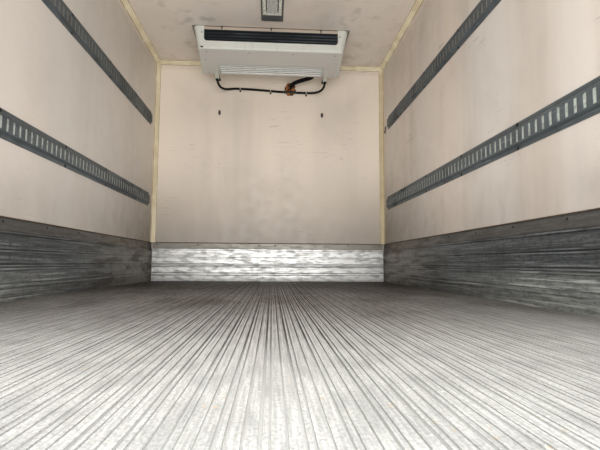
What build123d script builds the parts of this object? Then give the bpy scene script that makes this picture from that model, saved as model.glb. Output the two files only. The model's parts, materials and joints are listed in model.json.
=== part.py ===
"""Insulated refrigerated box body of a rigid truck, in millimetres.

The body stands on its two subframe runners. +Y points forward to the cab, +X to the right and +Z up.
The origin is the centre of the four chassis bolt holes, on the plane of the runners' undersides.
"""
from build123d import *
import math
import os

os.makedirs("parts", exist_ok=True)

# Load space
INNER_WIDTH = 2300
INNER_HEIGHT = 2203
INNER_LENGTH = 4500

# Insulated panels
SIDE_WALL = 75
FRONT_WALL = 90
ROOF_PANEL = 85
FLOOR_PANEL = 96
DOOR_THICKNESS = 85
CORNER_RADIUS = 25

# Ribbed tread floor
TREAD_HEIGHT = 14
TREAD_PITCH = 46

# Subframe
RUNNER_HEIGHT = 120
RUNNER_WIDTH = 60
RUNNER_SPACING = 860
RUNNER_WALL = 6
BEARER_HEIGHT = 70
BEARER_WIDTH = 45
BEARER_WALL = 5
BEARER_COUNT = 10
BEARER_SIDE_INSET = 40
BEARER_END_INSET = 90
RUNNER_END_INSET = 60
RUNNER_CUT = 200
RUNNER_NOSE_HEIGHT = 25

# Chassis feet
FOOT_LENGTH = 150
FOOT_REACH = 95
FOOT_PLATE = 12
FOOT_UPRIGHT = 10
FOOT_GUSSET = 8
BOLT_RADIUS = 8.5
BOLT_OFFSET = 55
BOLT_SPACING_Y = 2800

# Edge cappings and cove trims
CAPPING_SHEET = 3
CAPPING_LEG = 60
COVE_LEG = 40
COVE_LIP = 5

# Kick plates: height of each band from the top down, and how far it stands off the wall
KICK_BANDS = [
    (60, 3),
    (9, 9),
    (6, 4),
    (55, 9),
    (8, 14),
    (6, 9),
    (8, 14),
    (51, 9),
    (6, 5),
    (8, 14),
    (5, 9),
    (8, 14),
    (59, 9),
    (7, 5),
    (14, 14),
    (62, 9),
]

# Slotted load rails
RAIL_HEIGHT = 128
RAIL_DEPTH = 14
RAIL_SHEET = 2.5
RAIL_FLANGE = 20
RAIL_SLOPE = 8
SLOT_PITCH = 50
SLOT_WIDTH = 20
SLOT_HEIGHT = 58
RAIL_LOWER_RIGHT = 766
RAIL_LOWER_LEFT = 773
RAIL_UPPER_RIGHT = 1552
RAIL_UPPER_LEFT = 1555
RAIL_FRONT_GAP = 160
RAIL_LONG_GAP = 215

# Room between the fittings' rear ends and the closed doors
END_GAP = 10

# Rear doors
DOOR_GAP = 10
LEAF_GAP = 16
LEAF_BEVEL = 10
GASKET_STAND = 5
GASKET_WIDTH = 12
GASKET_DEPTHS = (12, 62)
HINGE_OUT = 17
HINGE_BEHIND = 55
HINGE_COUNT = 3
HINGE_MARGIN = 190
KNUCKLE_RADIUS = 14
PIN_RADIUS = 7
PIN_CLEARANCE = 0.3
STRAP_SHEET = 8
STRAP_HEIGHT = 60
STRAP_REACH = 320
STRAP_EDGE = 30
STRAP_RISE = 55
BRACKET_HEIGHT = 112
BRACKET_MARGIN = 6
KNUCKLE_GAP = 1
KNUCKLE_ROOM = 6
DOOR_KICK_MARGIN = 40
DOOR_KICK_RAISE = 10

# Lock rods, cams, keepers and lever
ROD_RADIUS = 13.5
ROD_OFF_FACE = 22
ROD_X = 150
ROD_OVERLAP = 45
CAM_THICK = 12
CAM_WIDTH = 28
CAM_REACH = 34
CAM_BELOW_FLOOR = 34
CAM_OVER_CEILING = 22
GUIDE_WIDTH = 76
GUIDE_HEIGHT = 50
GUIDE_PLATE = 6
GUIDE_END = 90
GUIDE_MIDDLE = 730
LEVER_LEVEL = 980
LEVER_LENGTH = 430
LEVER_HEIGHT = 30
LEVER_THICK = 10
KEEPER_GAP = 8
KEEPER_WIDTH = 44
KEEPER_HEIGHT = 44
KEEPER_REACH = 30
KEEPER_EAR = 7
KEEPER_LEVEL = 28

# Rubber buffers behind the folded doors and at the sill
BUFFER_RADIUS = 20
BUFFER_BASE_RADIUS = 34
BUFFER_BASE = 6
BUFFER_GAP = 6
BUFFER_FROM_HINGE = 400
BUFFER_LEVELS = (420, 1700)
DOCK_INSET = 95
DOCK_WIDTH = 230
DOCK_DEPTH = 60
DOCK_BEVEL = 10
DOCK_MARGIN = 6

# Rear frame
FRAME_BEVEL = 5
GUTTER_DEPTH = 16
GUTTER_HEIGHT = 14
GUTTER_SHEET = 3
GUTTER_INSET = 40

# Ceiling evaporator, measured back from the bulkhead and down from the ceiling
EVAP_FRONT = 728
EVAP_REAR = 237
EVAP_HEIGHT_FRONT = 206
EVAP_HEIGHT_REAR = 225
EVAP_HALF_TOP = 668
EVAP_HALF_FRONT = 624
EVAP_HALF_REAR = 655
EVAP_WALL = 4
EVAP_RECESS = 6
EVAP_CORNER = 40
EVAP_EDGE = 16
OUTLET_HALF = 577
OUTLET_DROP = 31
OUTLET_HEIGHT = 105
OUTLET_CORNER = 28
OUTLET_SLATS = 7
OUTLET_UPRIGHTS = 7
GRILLE_DEPTH = 20
GRILLE_RIM = 8
INTAKE_HALF = 487
INTAKE_FRONT = 455
INTAKE_REAR = 262
LOUVRE_DEPTH = 12
LOUVRE_RIM = 10
LOUVRE_SLATS = 5
SLAT_DEPTH = 20
SLAT_SHEET = 2.5
EVAP_COIL_HALF = 560
EVAP_COIL_BACK = 60
EVAP_COIL_DEPTH = 90

# Fans and their motors
EVAP_FAN_SPACING = 320
EVAP_FAN_RADIUS = 84
EVAP_FAN_HUB_RADIUS = 26
EVAP_FAN_HUB = 30
EVAP_FAN_RAISE = 40
EVAP_MOTOR_RADIUS = 36
BLADE_SHEET = 2.5
SHAFT_RADIUS = 6
MOTOR_GAP = 6

# Drains and pipes
HOSE_RADIUS = 11
PIPE_RADIUS = 19
SPIGOT_HALF = 19
SPIGOT_FRONT = 110
CLIP_WIDTH = 12
CLIP_SHEET = 3
CLIP_TAB = 34
FITTING_HEIGHT = 50
FITTING_WIDTH = 26
FITTING_THICK = 12
FITTING_DROP = 518
FITTING_X = 506

# Nose condenser unit, measured down from the roof
COND_HALF_REAR = 760
COND_HALF_FRONT = 690
COND_DEPTH = 430
COND_DROP = 88
COND_HEIGHT = 560
COND_WALL = 5
COND_CORNER = 90
COND_EDGE = 24
COND_GRILLE_HALF = 560
COND_GRILLE_DROP = 90
COND_GRILLE_HEIGHT = 400
COND_GRILLE_RIM = 14
COND_SLATS = 11
COND_SLAT_SHEET = 4
VENT_COUNT = 5
VENT_PITCH = 48
VENT_HEIGHT = 16
VENT_LENGTH = 170
VENT_BACK = 60
VENT_RAISE = 180
COND_COIL_HALF = 600
COND_COIL_BACK = 130
COND_COIL_DEPTH = 60
COMPRESSOR_WIDTH = 400
COMPRESSOR_DEPTH = 125
COMPRESSOR_HEIGHT = 255
COND_FAN_RADIUS = 180
COND_FAN_HUB_RADIUS = 48
COND_FAN_HUB = 44
COND_FAN_BACK = 60
COND_FAN_SPACING = 590
COND_MOTOR_RADIUS = 52

# Marker lamps
MARKER_LENGTH = 96
MARKER_HEIGHT = 34
MARKER_DEPTH = 20
MARKER_BEVEL = 7
MARKER_END_X = 1120
MARKER_DROP = 42
MARKER_SPACING = 1700
MARKER_RAISE = 30

# Ceiling lamp
LAMP_X = 5
LAMP_WIDTH = 180
LAMP_LENGTH = 600
LAMP_BASE = 10
LAMP_REAR = 845
LAMP_BEVEL = 3
LAMP_FRAME_WIDTH = 152
LAMP_FRAME_LENGTH = 344
LAMP_FRAME_DEPTH = 22
LAMP_FRAME_RIM = 25
LAMP_FRAME_BEVEL = 6
LAMP_FRAME_REAR = 128
LENS_DEPTH = 16
LENS_SIDE_GAP = 9
LENS_END_GAP = 3
LENS_RIBS = 5
LENS_RIB_WIDTH = 12
LENS_RIB_HEIGHT = 3

# Places that follow from the sizes above
HALF_IN = INNER_WIDTH / 2
HALF_OUT = HALF_IN + SIDE_WALL
HALF_FRAME = HALF_OUT + CAPPING_SHEET
Y_BULKHEAD = INNER_LENGTH / 2
Y_DOORWAY = -INNER_LENGTH / 2
Y_NOSE = Y_BULKHEAD + FRONT_WALL
Y_TAIL = Y_DOORWAY - DOOR_THICKNESS
Z_PANEL = RUNNER_HEIGHT + BEARER_HEIGHT
Z_DECK = Z_PANEL + FLOOR_PANEL
Z_FLOOR = Z_DECK + TREAD_HEIGHT
Z_CEILING = Z_FLOOR + INNER_HEIGHT
Z_TOP = Z_CEILING + ROOF_PANEL
HINGE_X = HALF_FRAME + HINGE_OUT
HINGE_Y = Y_TAIL - HINGE_BEHIND
FOLD_ANGLE = 270
KICK_DEPTH = max(depth for height, depth in KICK_BANDS)
KICK_HEIGHT = sum(height for height, depth in KICK_BANDS)


def block(x_range, y_range, z_range):
    """Solid box between low and high coordinates on each axis."""
    (x0, x1), (y0, y1), (z0, z1) = x_range, y_range, z_range
    return Pos((x0 + x1) / 2, (y0 + y1) / 2, (z0 + z1) / 2) * Box(x1 - x0, y1 - y0, z1 - z0)


def prism(points, run):
    """Straight prism from a closed outline of 3-D points, swept along a vector."""
    sweep_vector = Vector(*run)
    face = make_face(Polyline(*points, close=True))
    return extrude(face, amount=sweep_vector.length, dir=sweep_vector.normalized())


def bar(start, end, radius):
    """Round bar between two points."""
    start, end = Vector(*start), Vector(*end)
    place = Plane(origin=start, z_dir=(end - start).normalized())
    return place * Cylinder(radius, (end - start).length, align=(Align.CENTER, Align.CENTER, Align.MIN))


def fused(pieces):
    """One shape from several pieces that touch or overlap."""
    return pieces[0] + pieces[1:] if len(pieces) > 1 else pieces[0]


def both_sides(piece):
    """A piece and its mirror image across the body's centre plane."""
    return [piece, mirror(piece, about=Plane.YZ)]


def write(name, *pieces):
    """Write one node, its solids kept apart."""
    solids = [solid for piece in pieces for solid in piece.solids()]
    export_step(Compound(children=solids) if len(solids) > 1 else solids[0], f"parts/{name}.step")


# Insulated shell
def envelope(grow):
    """Outer form of the panels, its top and front edges rounded, grown by a sheet's thickness."""
    half = HALF_OUT + grow
    body = block((-half, half), (Y_DOORWAY, Y_NOSE + grow), (Z_PANEL, Z_TOP + grow))
    edges = [edge for edge in body.edges() if edge.center().Z > Z_TOP + grow - 1 and edge.center().Y > Y_DOORWAY + 1]
    edges += [edge for edge in body.edges().filter_by(Axis.Z) if edge.center().Y > 0]
    return fillet(edges, CORNER_RADIUS + grow)


def rain_gutter():
    """Folded gutter over the doorway."""
    half = HALF_FRAME - GUTTER_INSET
    low, high = Z_TOP - GUTTER_HEIGHT, Z_TOP
    lip = Y_TAIL - GUTTER_DEPTH
    outline = [(Y_TAIL, low), (lip, low), (lip, high), (lip + GUTTER_SHEET, high)]
    outline += [(lip + GUTTER_SHEET, low + GUTTER_SHEET), (Y_TAIL, low + GUTTER_SHEET)]
    return prism([(-half, y, z) for y, z in outline], (2 * half, 0, 0))


def rear_frame():
    """Portal that the doors close into, flush with the tread floor at its sill."""
    outside = block((-HALF_FRAME, HALF_FRAME), (Y_TAIL, Y_DOORWAY), (Z_PANEL, Z_TOP + CAPPING_SHEET))
    top_corners = outside.edges().filter_by(Axis.Y).group_by(Axis.Z)[-1]
    outside = fillet(top_corners, CORNER_RADIUS + CAPPING_SHEET)
    outside = chamfer(outside.faces().sort_by(Axis.Y)[0].edges(), FRAME_BEVEL)
    doorway = block((-HALF_IN, HALF_IN), (Y_TAIL - 1, Y_DOORWAY + 1), (Z_FLOOR, Z_CEILING))
    return fused([outside - doorway, rain_gutter()])


def edge_cappings(panels):
    """Folded sheet along the roof edges, the front corners and the lower edges."""
    reach = HALF_FRAME + 1
    ends = (Y_DOORWAY - 1, Y_NOSE + CAPPING_SHEET + 1)
    top = (Z_TOP - CAPPING_LEG, Z_TOP + CAPPING_SHEET + 1)
    front = (Y_NOSE - CAPPING_LEG, Y_NOSE + CAPPING_SHEET + 1)
    upright = (Z_PANEL - 1, Z_TOP + CAPPING_SHEET + 1)
    side = (HALF_OUT - CAPPING_LEG, reach)
    strips = both_sides(block(side, ends, top))
    strips += both_sides(block(side, front, upright))
    strips.append(block((-reach, reach), front, top))
    strips.append(block((-reach, reach), ends, (Z_PANEL - 1, Z_PANEL + CAPPING_LEG)))
    sheet = envelope(CAPPING_SHEET) - panels
    return sheet & fused(strips)


def cove(corner, leg_a, leg_b, run):
    """Cove strip in an inside corner, its two legs along the meeting faces."""
    outline = [(0, 0), (COVE_LEG, 0), (COVE_LEG, COVE_LIP), (COVE_LIP, COVE_LEG), (0, COVE_LEG)]
    points = [Vector(*corner) + Vector(*leg_a) * u + Vector(*leg_b) * v for u, v in outline]
    return prism([tuple(point) for point in points], run)


def cove_trims():
    """Cove strips up both bulkhead corners, across its top and along the ceiling's edges."""
    kick_top = Z_FLOOR + KICK_HEIGHT
    upright = cove((HALF_IN, Y_BULKHEAD, kick_top), (-1, 0, 0), (0, -1, 0), (0, 0, Z_CEILING - kick_top))
    start = Y_DOORWAY + END_GAP
    along = cove((HALF_IN, start, Z_CEILING), (-1, 0, 0), (0, 0, -1), (0, Y_BULKHEAD - start, 0))
    across = cove((-HALF_IN, Y_BULKHEAD, Z_CEILING), (0, -1, 0), (0, 0, -1), (INNER_WIDTH, 0, 0))
    return fused(both_sides(upright) + both_sides(along) + [across])


def tread_floor():
    """Aluminium floor up to the front kick plate, its grooves repeated by the pitch of one rib."""
    # Grooves in one pitch: place from the pitch's start, width, depth
    grooves = [(0, 5, 5), (11, 3, 3.5), (29, 3, 3.5)]
    points = [(-HALF_IN, Z_DECK), (-HALF_IN, Z_FLOOR)]
    for index in range(int(INNER_WIDTH // TREAD_PITCH)):
        for place, width, depth in grooves:
            start = -HALF_IN + index * TREAD_PITCH + place + TREAD_PITCH / 4
            points += [(start, Z_FLOOR), (start, Z_FLOOR - depth)]
            points += [(start + width, Z_FLOOR - depth), (start + width, Z_FLOOR)]
    points += [(HALF_IN, Z_FLOOR), (HALF_IN, Z_DECK)]
    return prism([(x, Y_DOORWAY, z) for x, z in points], (0, INNER_LENGTH - KICK_DEPTH, 0))


# Inside fittings
def kick_outline(below=0):
    """Kick plate outline: distance off the wall and height above the floor, its foot set lower."""
    level = KICK_HEIGHT
    points = [(0, level)]
    for height, depth in KICK_BANDS:
        points.append((depth, level))
        level -= height
        points.append((depth, level))
    foot = points.pop()[0]
    return points + [(foot, -below), (0, -below)]


def side_kick_plate():
    """Ribbed kick plate along the right wall."""
    start = Y_DOORWAY + END_GAP
    points = [(HALF_IN - off, start, Z_FLOOR + up) for off, up in kick_outline()]
    return prism(points, (0, Y_BULKHEAD - start, 0))


def front_kick_plate():
    """Ribbed kick plate across the bulkhead, between the side plates and down to the deck."""
    half = HALF_IN - KICK_DEPTH
    points = [(-half, Y_BULKHEAD - off, Z_FLOOR + up) for off, up in kick_outline(TREAD_HEIGHT)]
    return prism(points, (2 * half, 0, 0))


def load_rail(level, front_gap):
    """Slotted hat-section rail on the right wall, from the doorway to a gap before the bulkhead."""
    low = level - RAIL_HEIGHT / 2
    high = level + RAIL_HEIGHT / 2
    face = RAIL_DEPTH
    back = RAIL_DEPTH - RAIL_SHEET
    rise = RAIL_FLANGE + RAIL_SLOPE
    outer = [(RAIL_SHEET, low), (RAIL_SHEET, low + RAIL_FLANGE), (face, low + rise)]
    outer += [(face, high - rise), (RAIL_SHEET, high - RAIL_FLANGE), (RAIL_SHEET, high)]
    inner = [(0, high), (0, high - RAIL_FLANGE - RAIL_SHEET), (back, high - rise - RAIL_SHEET)]
    inner += [(back, low + rise + RAIL_SHEET), (0, low + RAIL_FLANGE + RAIL_SHEET), (0, low)]
    start = Y_DOORWAY + END_GAP
    length = INNER_LENGTH - END_GAP - front_gap
    rail = prism([(HALF_IN - off, start, Z_FLOOR + up) for off, up in outer + inner], (0, length, 0))
    slots = []
    for index in range(int((length - SLOT_PITCH) // SLOT_PITCH)):
        y = start + length - SLOT_PITCH * (index + 1)
        x_range = (HALF_IN - face - 1, HALF_IN - RAIL_SHEET)
        z_range = (Z_FLOOR + level - SLOT_HEIGHT / 2, Z_FLOOR + level + SLOT_HEIGHT / 2)
        slots.append(block(x_range, (y - SLOT_WIDTH / 2, y + SLOT_WIDTH / 2), z_range))
    return rail - slots


def lamp_pieces():
    """Ceiling lamp: base plate, light frame and lens."""
    y0 = Y_BULKHEAD - LAMP_REAR - LAMP_LENGTH
    y1 = Y_BULKHEAD - LAMP_REAR
    x_range = (LAMP_X - LAMP_WIDTH / 2, LAMP_X + LAMP_WIDTH / 2)
    base = block(x_range, (y0, y1), (Z_CEILING - LAMP_BASE, Z_CEILING))
    base = chamfer(base.faces().sort_by(Axis.Z)[0].edges(), LAMP_BEVEL)
    centre = y1 - LAMP_FRAME_REAR - LAMP_FRAME_LENGTH / 2
    under = Z_CEILING - LAMP_BASE
    window_width = LAMP_FRAME_WIDTH - 2 * LAMP_FRAME_RIM
    window_length = LAMP_FRAME_LENGTH - 2 * LAMP_FRAME_RIM
    lens_width = window_width - 2 * LENS_SIDE_GAP
    lens_length = window_length - 2 * LENS_END_GAP
    frame = Pos(LAMP_X, centre, under - LAMP_FRAME_DEPTH / 2) * Box(LAMP_FRAME_WIDTH, LAMP_FRAME_LENGTH, LAMP_FRAME_DEPTH)
    frame = chamfer(frame.faces().sort_by(Axis.Z)[0].edges(), LAMP_FRAME_BEVEL)
    window = Pos(LAMP_X, centre, under - LAMP_FRAME_DEPTH / 2) * Box(window_width, window_length, LAMP_FRAME_DEPTH + 2)
    lens = Pos(LAMP_X, centre, under - LENS_DEPTH / 2) * Box(lens_width, lens_length, LENS_DEPTH)
    pitch = lens_width / LENS_RIBS
    ribs = [Pos(LAMP_X + (index - (LENS_RIBS - 1) / 2) * pitch, centre, under - LENS_DEPTH)
            * Box(LENS_RIB_WIDTH, lens_length, 2 * LENS_RIB_HEIGHT) for index in range(LENS_RIBS)]
    return base, frame - window, fused([lens] + ribs)


# Ceiling evaporator
EVAP_Y0 = Y_BULKHEAD - EVAP_FRONT
EVAP_Y1 = Y_BULKHEAD - EVAP_REAR
EVAP_Z0 = Z_CEILING - EVAP_HEIGHT_REAR
EVAP_Z0_FRONT = Z_CEILING - EVAP_HEIGHT_FRONT
EVAP_SLOPE = math.degrees(math.atan2(EVAP_HEIGHT_REAR - EVAP_HEIGHT_FRONT, EVAP_FRONT - EVAP_REAR))
INTAKE_Y0 = Y_BULKHEAD - INTAKE_FRONT
INTAKE_Y1 = Y_BULKHEAD - INTAKE_REAR
OUTLET_Z1 = Z_CEILING - OUTLET_DROP
OUTLET_Z0 = OUTLET_Z1 - OUTLET_HEIGHT


def sloped(piece):
    """Piece drawn under a level cover, turned onto the cover's underside, which falls to the rear."""
    return Pos(0, EVAP_Y0, EVAP_Z0_FRONT) * Rot(-EVAP_SLOPE, 0, 0) * Pos(0, -EVAP_Y0, -EVAP_Z0_FRONT) * piece


def underside(y):
    """Height of the cover's underside at a place along the body."""
    return EVAP_Z0_FRONT - (y - EVAP_Y0) * math.tan(math.radians(EVAP_SLOPE))


def evaporator_form(inset):
    """Evaporator cover's outer form, or its inside when it is inset by the wall."""
    ends = []
    for y, half in ((EVAP_Y0 + inset, EVAP_HALF_FRONT - inset), (EVAP_Y1 - inset, EVAP_HALF_REAR - inset)):
        low, high, top = underside(y) + inset, Z_CEILING - inset, EVAP_HALF_TOP - inset
        outline = [(-half, y, low), (half, y, low), (top, y, high), (-top, y, high)]
        ends.append(make_face(Polyline(*outline, close=True)))
    form = loft(ends, ruled=True)
    front_face = form.faces().sort_by(Axis.Y)[0]
    corners = [edge for edge in front_face.edges() if abs(edge.center().X) > EVAP_HALF_FRONT - inset - 1]
    form = fillet(corners, EVAP_CORNER - inset)
    lower = form.faces().sort_by(Axis.Z)[0]
    return fillet(lower.edges(), EVAP_EDGE - inset)


def outlet_block(inset, y_range, top):
    """Air outlet's opening with round lower corners, up to a given height."""
    half = OUTLET_HALF - inset
    opening = block((-half, half), y_range, (OUTLET_Z0 + inset, top))
    lower = opening.edges().filter_by(Axis.Y).group_by(Axis.Z)[0]
    return fillet(lower, OUTLET_CORNER - inset)


def evaporator_housing():
    """Thin cover with end caps that stand proud, open at the outlet in front and the intake below."""
    back = EVAP_Y0 + EVAP_RECESS + EVAP_WALL
    inside = evaporator_form(EVAP_WALL) - block((-HALF_IN, HALF_IN), (EVAP_Y0, back), (EVAP_Z0, Z_CEILING))
    recess = outlet_block(0, (EVAP_Y0 - 1, EVAP_Y0 + EVAP_RECESS), Z_CEILING + 1)
    outlet = outlet_block(0, (EVAP_Y0 - 1, back + 1), OUTLET_Z1)
    through = (EVAP_Z0_FRONT - 2, EVAP_Z0_FRONT + EVAP_WALL + 2)
    intake = sloped(block((-INTAKE_HALF, INTAKE_HALF), (INTAKE_Y0, INTAKE_Y1), through))
    return evaporator_form(0) - inside - recess - outlet - intake


def evaporator_grille():
    """Outlet grille: frame, tilted slats and uprights."""
    front = EVAP_Y0 + EVAP_RECESS
    depth = (front, front + GRILLE_DEPTH)
    hole = outlet_block(GRILLE_RIM, (depth[0] - 1, depth[1] + 1), OUTLET_Z1 - GRILLE_RIM)
    rim = outlet_block(PIN_CLEARANCE, depth, OUTLET_Z1 - PIN_CLEARANCE) - hole
    pitch = OUTLET_HEIGHT / (OUTLET_SLATS + 1)
    slats = [Pos(0, front + GRILLE_DEPTH / 2, OUTLET_Z0 + pitch * (index + 1)) * Rot(-25, 0, 0)
             * Box(2 * OUTLET_HALF - GRILLE_RIM - 4, 0.7 * GRILLE_DEPTH, SLAT_SHEET) for index in range(OUTLET_SLATS)]
    step = 2 * OUTLET_HALF / (OUTLET_UPRIGHTS + 1)
    y_range = (front + GRILLE_RIM, front + GRILLE_DEPTH - 3)
    uprights = [block((x, x + SLAT_SHEET), y_range, (OUTLET_Z0 + 4, OUTLET_Z1 - 4))
                for x in [-OUTLET_HALF + step * (index + 1) for index in range(OUTLET_UPRIGHTS)]]
    return fused([rim] + slats + uprights)


def evaporator_louvre():
    """Intake louvre in the cover's underside, its white slats running across the body."""
    z_range = (EVAP_Z0_FRONT, EVAP_Z0_FRONT + LOUVRE_DEPTH)
    outside = block((-INTAKE_HALF, INTAKE_HALF), (INTAKE_Y0, INTAKE_Y1), z_range)
    hole_x = INTAKE_HALF - LOUVRE_RIM
    rim = outside - block((-hole_x, hole_x), (INTAKE_Y0 + LOUVRE_RIM, INTAKE_Y1 - LOUVRE_RIM), (0, Z_TOP))
    pitch = (INTAKE_Y1 - INTAKE_Y0) / (LOUVRE_SLATS + 1)
    slats = [Pos(0, INTAKE_Y0 + pitch * (index + 1), EVAP_Z0_FRONT + LOUVRE_DEPTH / 2 + 1) * Rot(-35, 0, 0)
             * Box(2 * hole_x + 4, SLAT_DEPTH, SLAT_SHEET) for index in range(LOUVRE_SLATS)]
    return sloped(fused([rim] + slats))


def fan(radius, hub_radius, hub_height, blades, twist):
    """Axial fan about +Z with its hub's underside at the origin and a blind bore on top."""
    root = hub_radius - 4
    span = radius - root
    pieces = [Pos(0, 0, hub_height / 2) * Cylinder(hub_radius, hub_height)]
    # A blade is wider at its tip and leans back from its root
    outline = [(0, -0.25 * span), (span, -0.55 * span), (span, 0.25 * span), (0, 0.3 * span)]
    for index in range(blades):
        blade = prism([(x, y, -BLADE_SHEET / 2) for x, y in outline], (0, 0, BLADE_SHEET))
        pieces.append(Rot(0, 0, index * 360 / blades) * Pos(root, 0, hub_height / 2) * Rot(twist, 0, 0) * blade)
    return fused(pieces) - Pos(0, 0, hub_height) * Cylinder(SHAFT_RADIUS + PIN_CLEARANCE, hub_height)


EVAP_FAN_Y = (INTAKE_Y0 + INTAKE_Y1) / 2
EVAP_FAN_Z = EVAP_Z0 + EVAP_FAN_RAISE


def evaporator_motor(x):
    """Fan motor hung from the cover's top plate, its shaft in the fan's bore."""
    under = EVAP_FAN_Z + EVAP_FAN_HUB + MOTOR_GAP
    motor = bar((x, EVAP_FAN_Y, under), (x, EVAP_FAN_Y, Z_CEILING - EVAP_WALL), EVAP_MOTOR_RADIUS)
    shaft = bar((x, EVAP_FAN_Y, EVAP_FAN_Z + EVAP_FAN_HUB / 2 + 2), (x, EVAP_FAN_Y, under + 5), SHAFT_RADIUS)
    return motor + shaft


# Drain hoses and refrigerant pipes: x, then y from the bulkhead and z from the ceiling
FOAM_X = (128, 250)
FOAM_Z = (-330, -191)
FOAM_THICK = 28
LEFT_HOSE = [
    (-518, -224, -257),
    (-518, -196, -285),
    (-502, -138, -306),
    (-466, -74, -302),
    (-420, -30, -283),
    (-365, -14, -269),
    (-200, -13, -272),
    (-5, -14, -284),
    (75, -14, -290),
    (128, -14, -290),
]
RIGHT_HOSE = [
    (520, -224, -255),
    (520, -196, -283),
    (509, -140, -302),
    (480, -80, -303),
    (436, -30, -297),
    (390, -14, -294),
    (250, -14, -294),
]
PIPE_ROUTE = [
    (405, -237, -201),
    (405, -205, -201),
    (368, -162, -203),
    (306, -126, -207),
    (244, -106, -221),
    (198, -78, -240),
    (188, -52, -250),
    (188, -28, -250),
]


def in_body(point):
    """Point in the body's frame from one given off the bulkhead and the ceiling."""
    return (point[0], Y_BULKHEAD + point[1], Z_CEILING + point[2])


def tube(route, radius, name):
    """Round hose along a route, each corner an arc as large as its two runs allow."""
    points = [Vector(*in_body(point)) for point in route]
    radii = []
    for before, corner, after in zip(points, points[1:], points[2:]):
        turn = math.radians((corner - before).get_angle(after - corner))
        shorter = min((corner - before).length, (after - corner).length)
        radii.append(0.45 * shorter / math.tan(turn / 2))
    path = FilletPolyline(*points, radius=radii)
    start = Plane(origin=points[0], z_dir=(points[1] - points[0]).normalized())
    solid = sweep(start * Circle(radius), path=path)
    share = solid.volume / (math.pi * radius ** 2 * path.length)
    print(name, "length", round(path.length), "radii", [round(value) for value in radii], "volume", round(share, 4))
    return solid


def drain_spigot(hose_start):
    """Drain outlet under the cover, slanting down to a face square to its hose."""
    x, y, z = in_body(hose_start)
    half = SPIGOT_HALF * math.sqrt(0.5)
    front, back = y - SPIGOT_FRONT, EVAP_Y1 - EVAP_EDGE
    points = [(front, underside(front)), (back, underside(back)), (y + half, underside(back))]
    points += [(y + half, z + half), (y - half, z - half)]
    return prism([(x - SPIGOT_HALF, along, up) for along, up in points], (2 * SPIGOT_HALF, 0, 0))


def hose_clip(route, x):
    """Clip around a hose where its route passes x, the tab screwed to the bulkhead."""
    spans = [pair for pair in zip(route, route[1:]) if min(pair[0][0], pair[1][0]) <= x <= max(pair[0][0], pair[1][0])]
    before, after = spans[-1]
    share = (x - before[0]) / (after[0] - before[0])
    centre = in_body([start + (end - start) * share for start, end in zip(before, after)])
    x0, x1 = x - CLIP_WIDTH / 2, x + CLIP_WIDTH / 2
    y, z = centre[1:]
    ring = bar((x0, y, z), (x1, y, z), HOSE_RADIUS + CLIP_SHEET)
    tab = block((x0, x1), (Y_BULKHEAD - CLIP_SHEET, Y_BULKHEAD), (z - CLIP_TAB, z))
    hole = bar((x0 - 1, y, z), (x1 + 1, y, z), HOSE_RADIUS + 0.5)
    wall = block((x0 - 1, x1 + 1), (Y_BULKHEAD, Y_NOSE), (z - CLIP_TAB, z + CLIP_TAB))
    return ring + tab - hole - wall


def pipe_foam():
    """Foam filling round the pipes' way through the bulkhead."""
    low, high = Z_CEILING + FOAM_Z[0], Z_CEILING + FOAM_Z[1]
    left, right = FOAM_X
    outline = [(left, low + 8), (left + 30, low), (right - 14, low + 4), (right, low + 12)]
    outline += [(right, high - 62), (right - 20, high - 16), (left + 46, high), (left + 10, high - 30), (left, high - 60)]
    return prism([(x, Y_BULKHEAD - FOAM_THICK, z) for x, z in outline], (0, FOAM_THICK, 0))


def bulkhead_fitting():
    """Small oval tie point on the bulkhead's right half."""
    place = Plane(origin=in_body((FITTING_X, 0, -FITTING_DROP)), z_dir=(0, -1, 0))
    plate = place * SlotOverall(FITTING_HEIGHT, FITTING_WIDTH, rotation=90)
    return extrude(plate, amount=FITTING_THICK, dir=(0, -1, 0))


# Rear doors, drawn closed on the right side and then folded back
def leaf():
    """Insulated door leaf, bevelled at its free inner edge."""
    body = block((LEAF_GAP / 2, HALF_IN - DOOR_GAP), (Y_TAIL, Y_DOORWAY), (Z_FLOOR + DOOR_GAP, Z_CEILING - DOOR_GAP))
    inner_edge = body.edges().filter_by(Axis.Z).group_by(Axis.X)[0].sort_by(Axis.Y)[-1]
    return chamfer(inner_edge, LEAF_BEVEL)


def gasket():
    """Two sealing lips round the leaf; the inner one leaves out the free edge."""
    x0, x1 = LEAF_GAP / 2, HALF_IN - DOOR_GAP
    z0, z1 = Z_FLOOR + DOOR_GAP, Z_CEILING - DOOR_GAP
    lips = []
    for depth in GASKET_DEPTHS:
        y_range = (Y_TAIL + depth, Y_TAIL + depth + GASKET_WIDTH)
        start = x0 - GASKET_STAND if depth == GASKET_DEPTHS[0] else x0 + LEAF_BEVEL
        lip = block((start, x1 + GASKET_STAND), y_range, (z0 - GASKET_STAND, z1 + GASKET_STAND))
        lips.append(lip - block((x0, x1), (y_range[0] - 1, y_range[1] + 1), (z0, z1)))
    return lips


def door_kick_plate():
    """Ribbed kick plate along the leaf's inner face."""
    x0 = LEAF_GAP / 2 + DOOR_KICK_MARGIN
    x1 = HALF_IN - DOOR_GAP - DOOR_KICK_MARGIN
    z0 = Z_FLOOR + DOOR_GAP + DOOR_KICK_RAISE
    return prism([(x0, Y_DOORWAY + off, z0 + up) for off, up in kick_outline()], (x1 - x0, 0, 0))


def hinge_heights():
    """Centres of the hinges, evenly spaced between the margins."""
    low, high = Z_FLOOR + HINGE_MARGIN, Z_CEILING - HINGE_MARGIN
    return [low + (high - low) * index / (HINGE_COUNT - 1) for index in range(HINGE_COUNT)]


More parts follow.
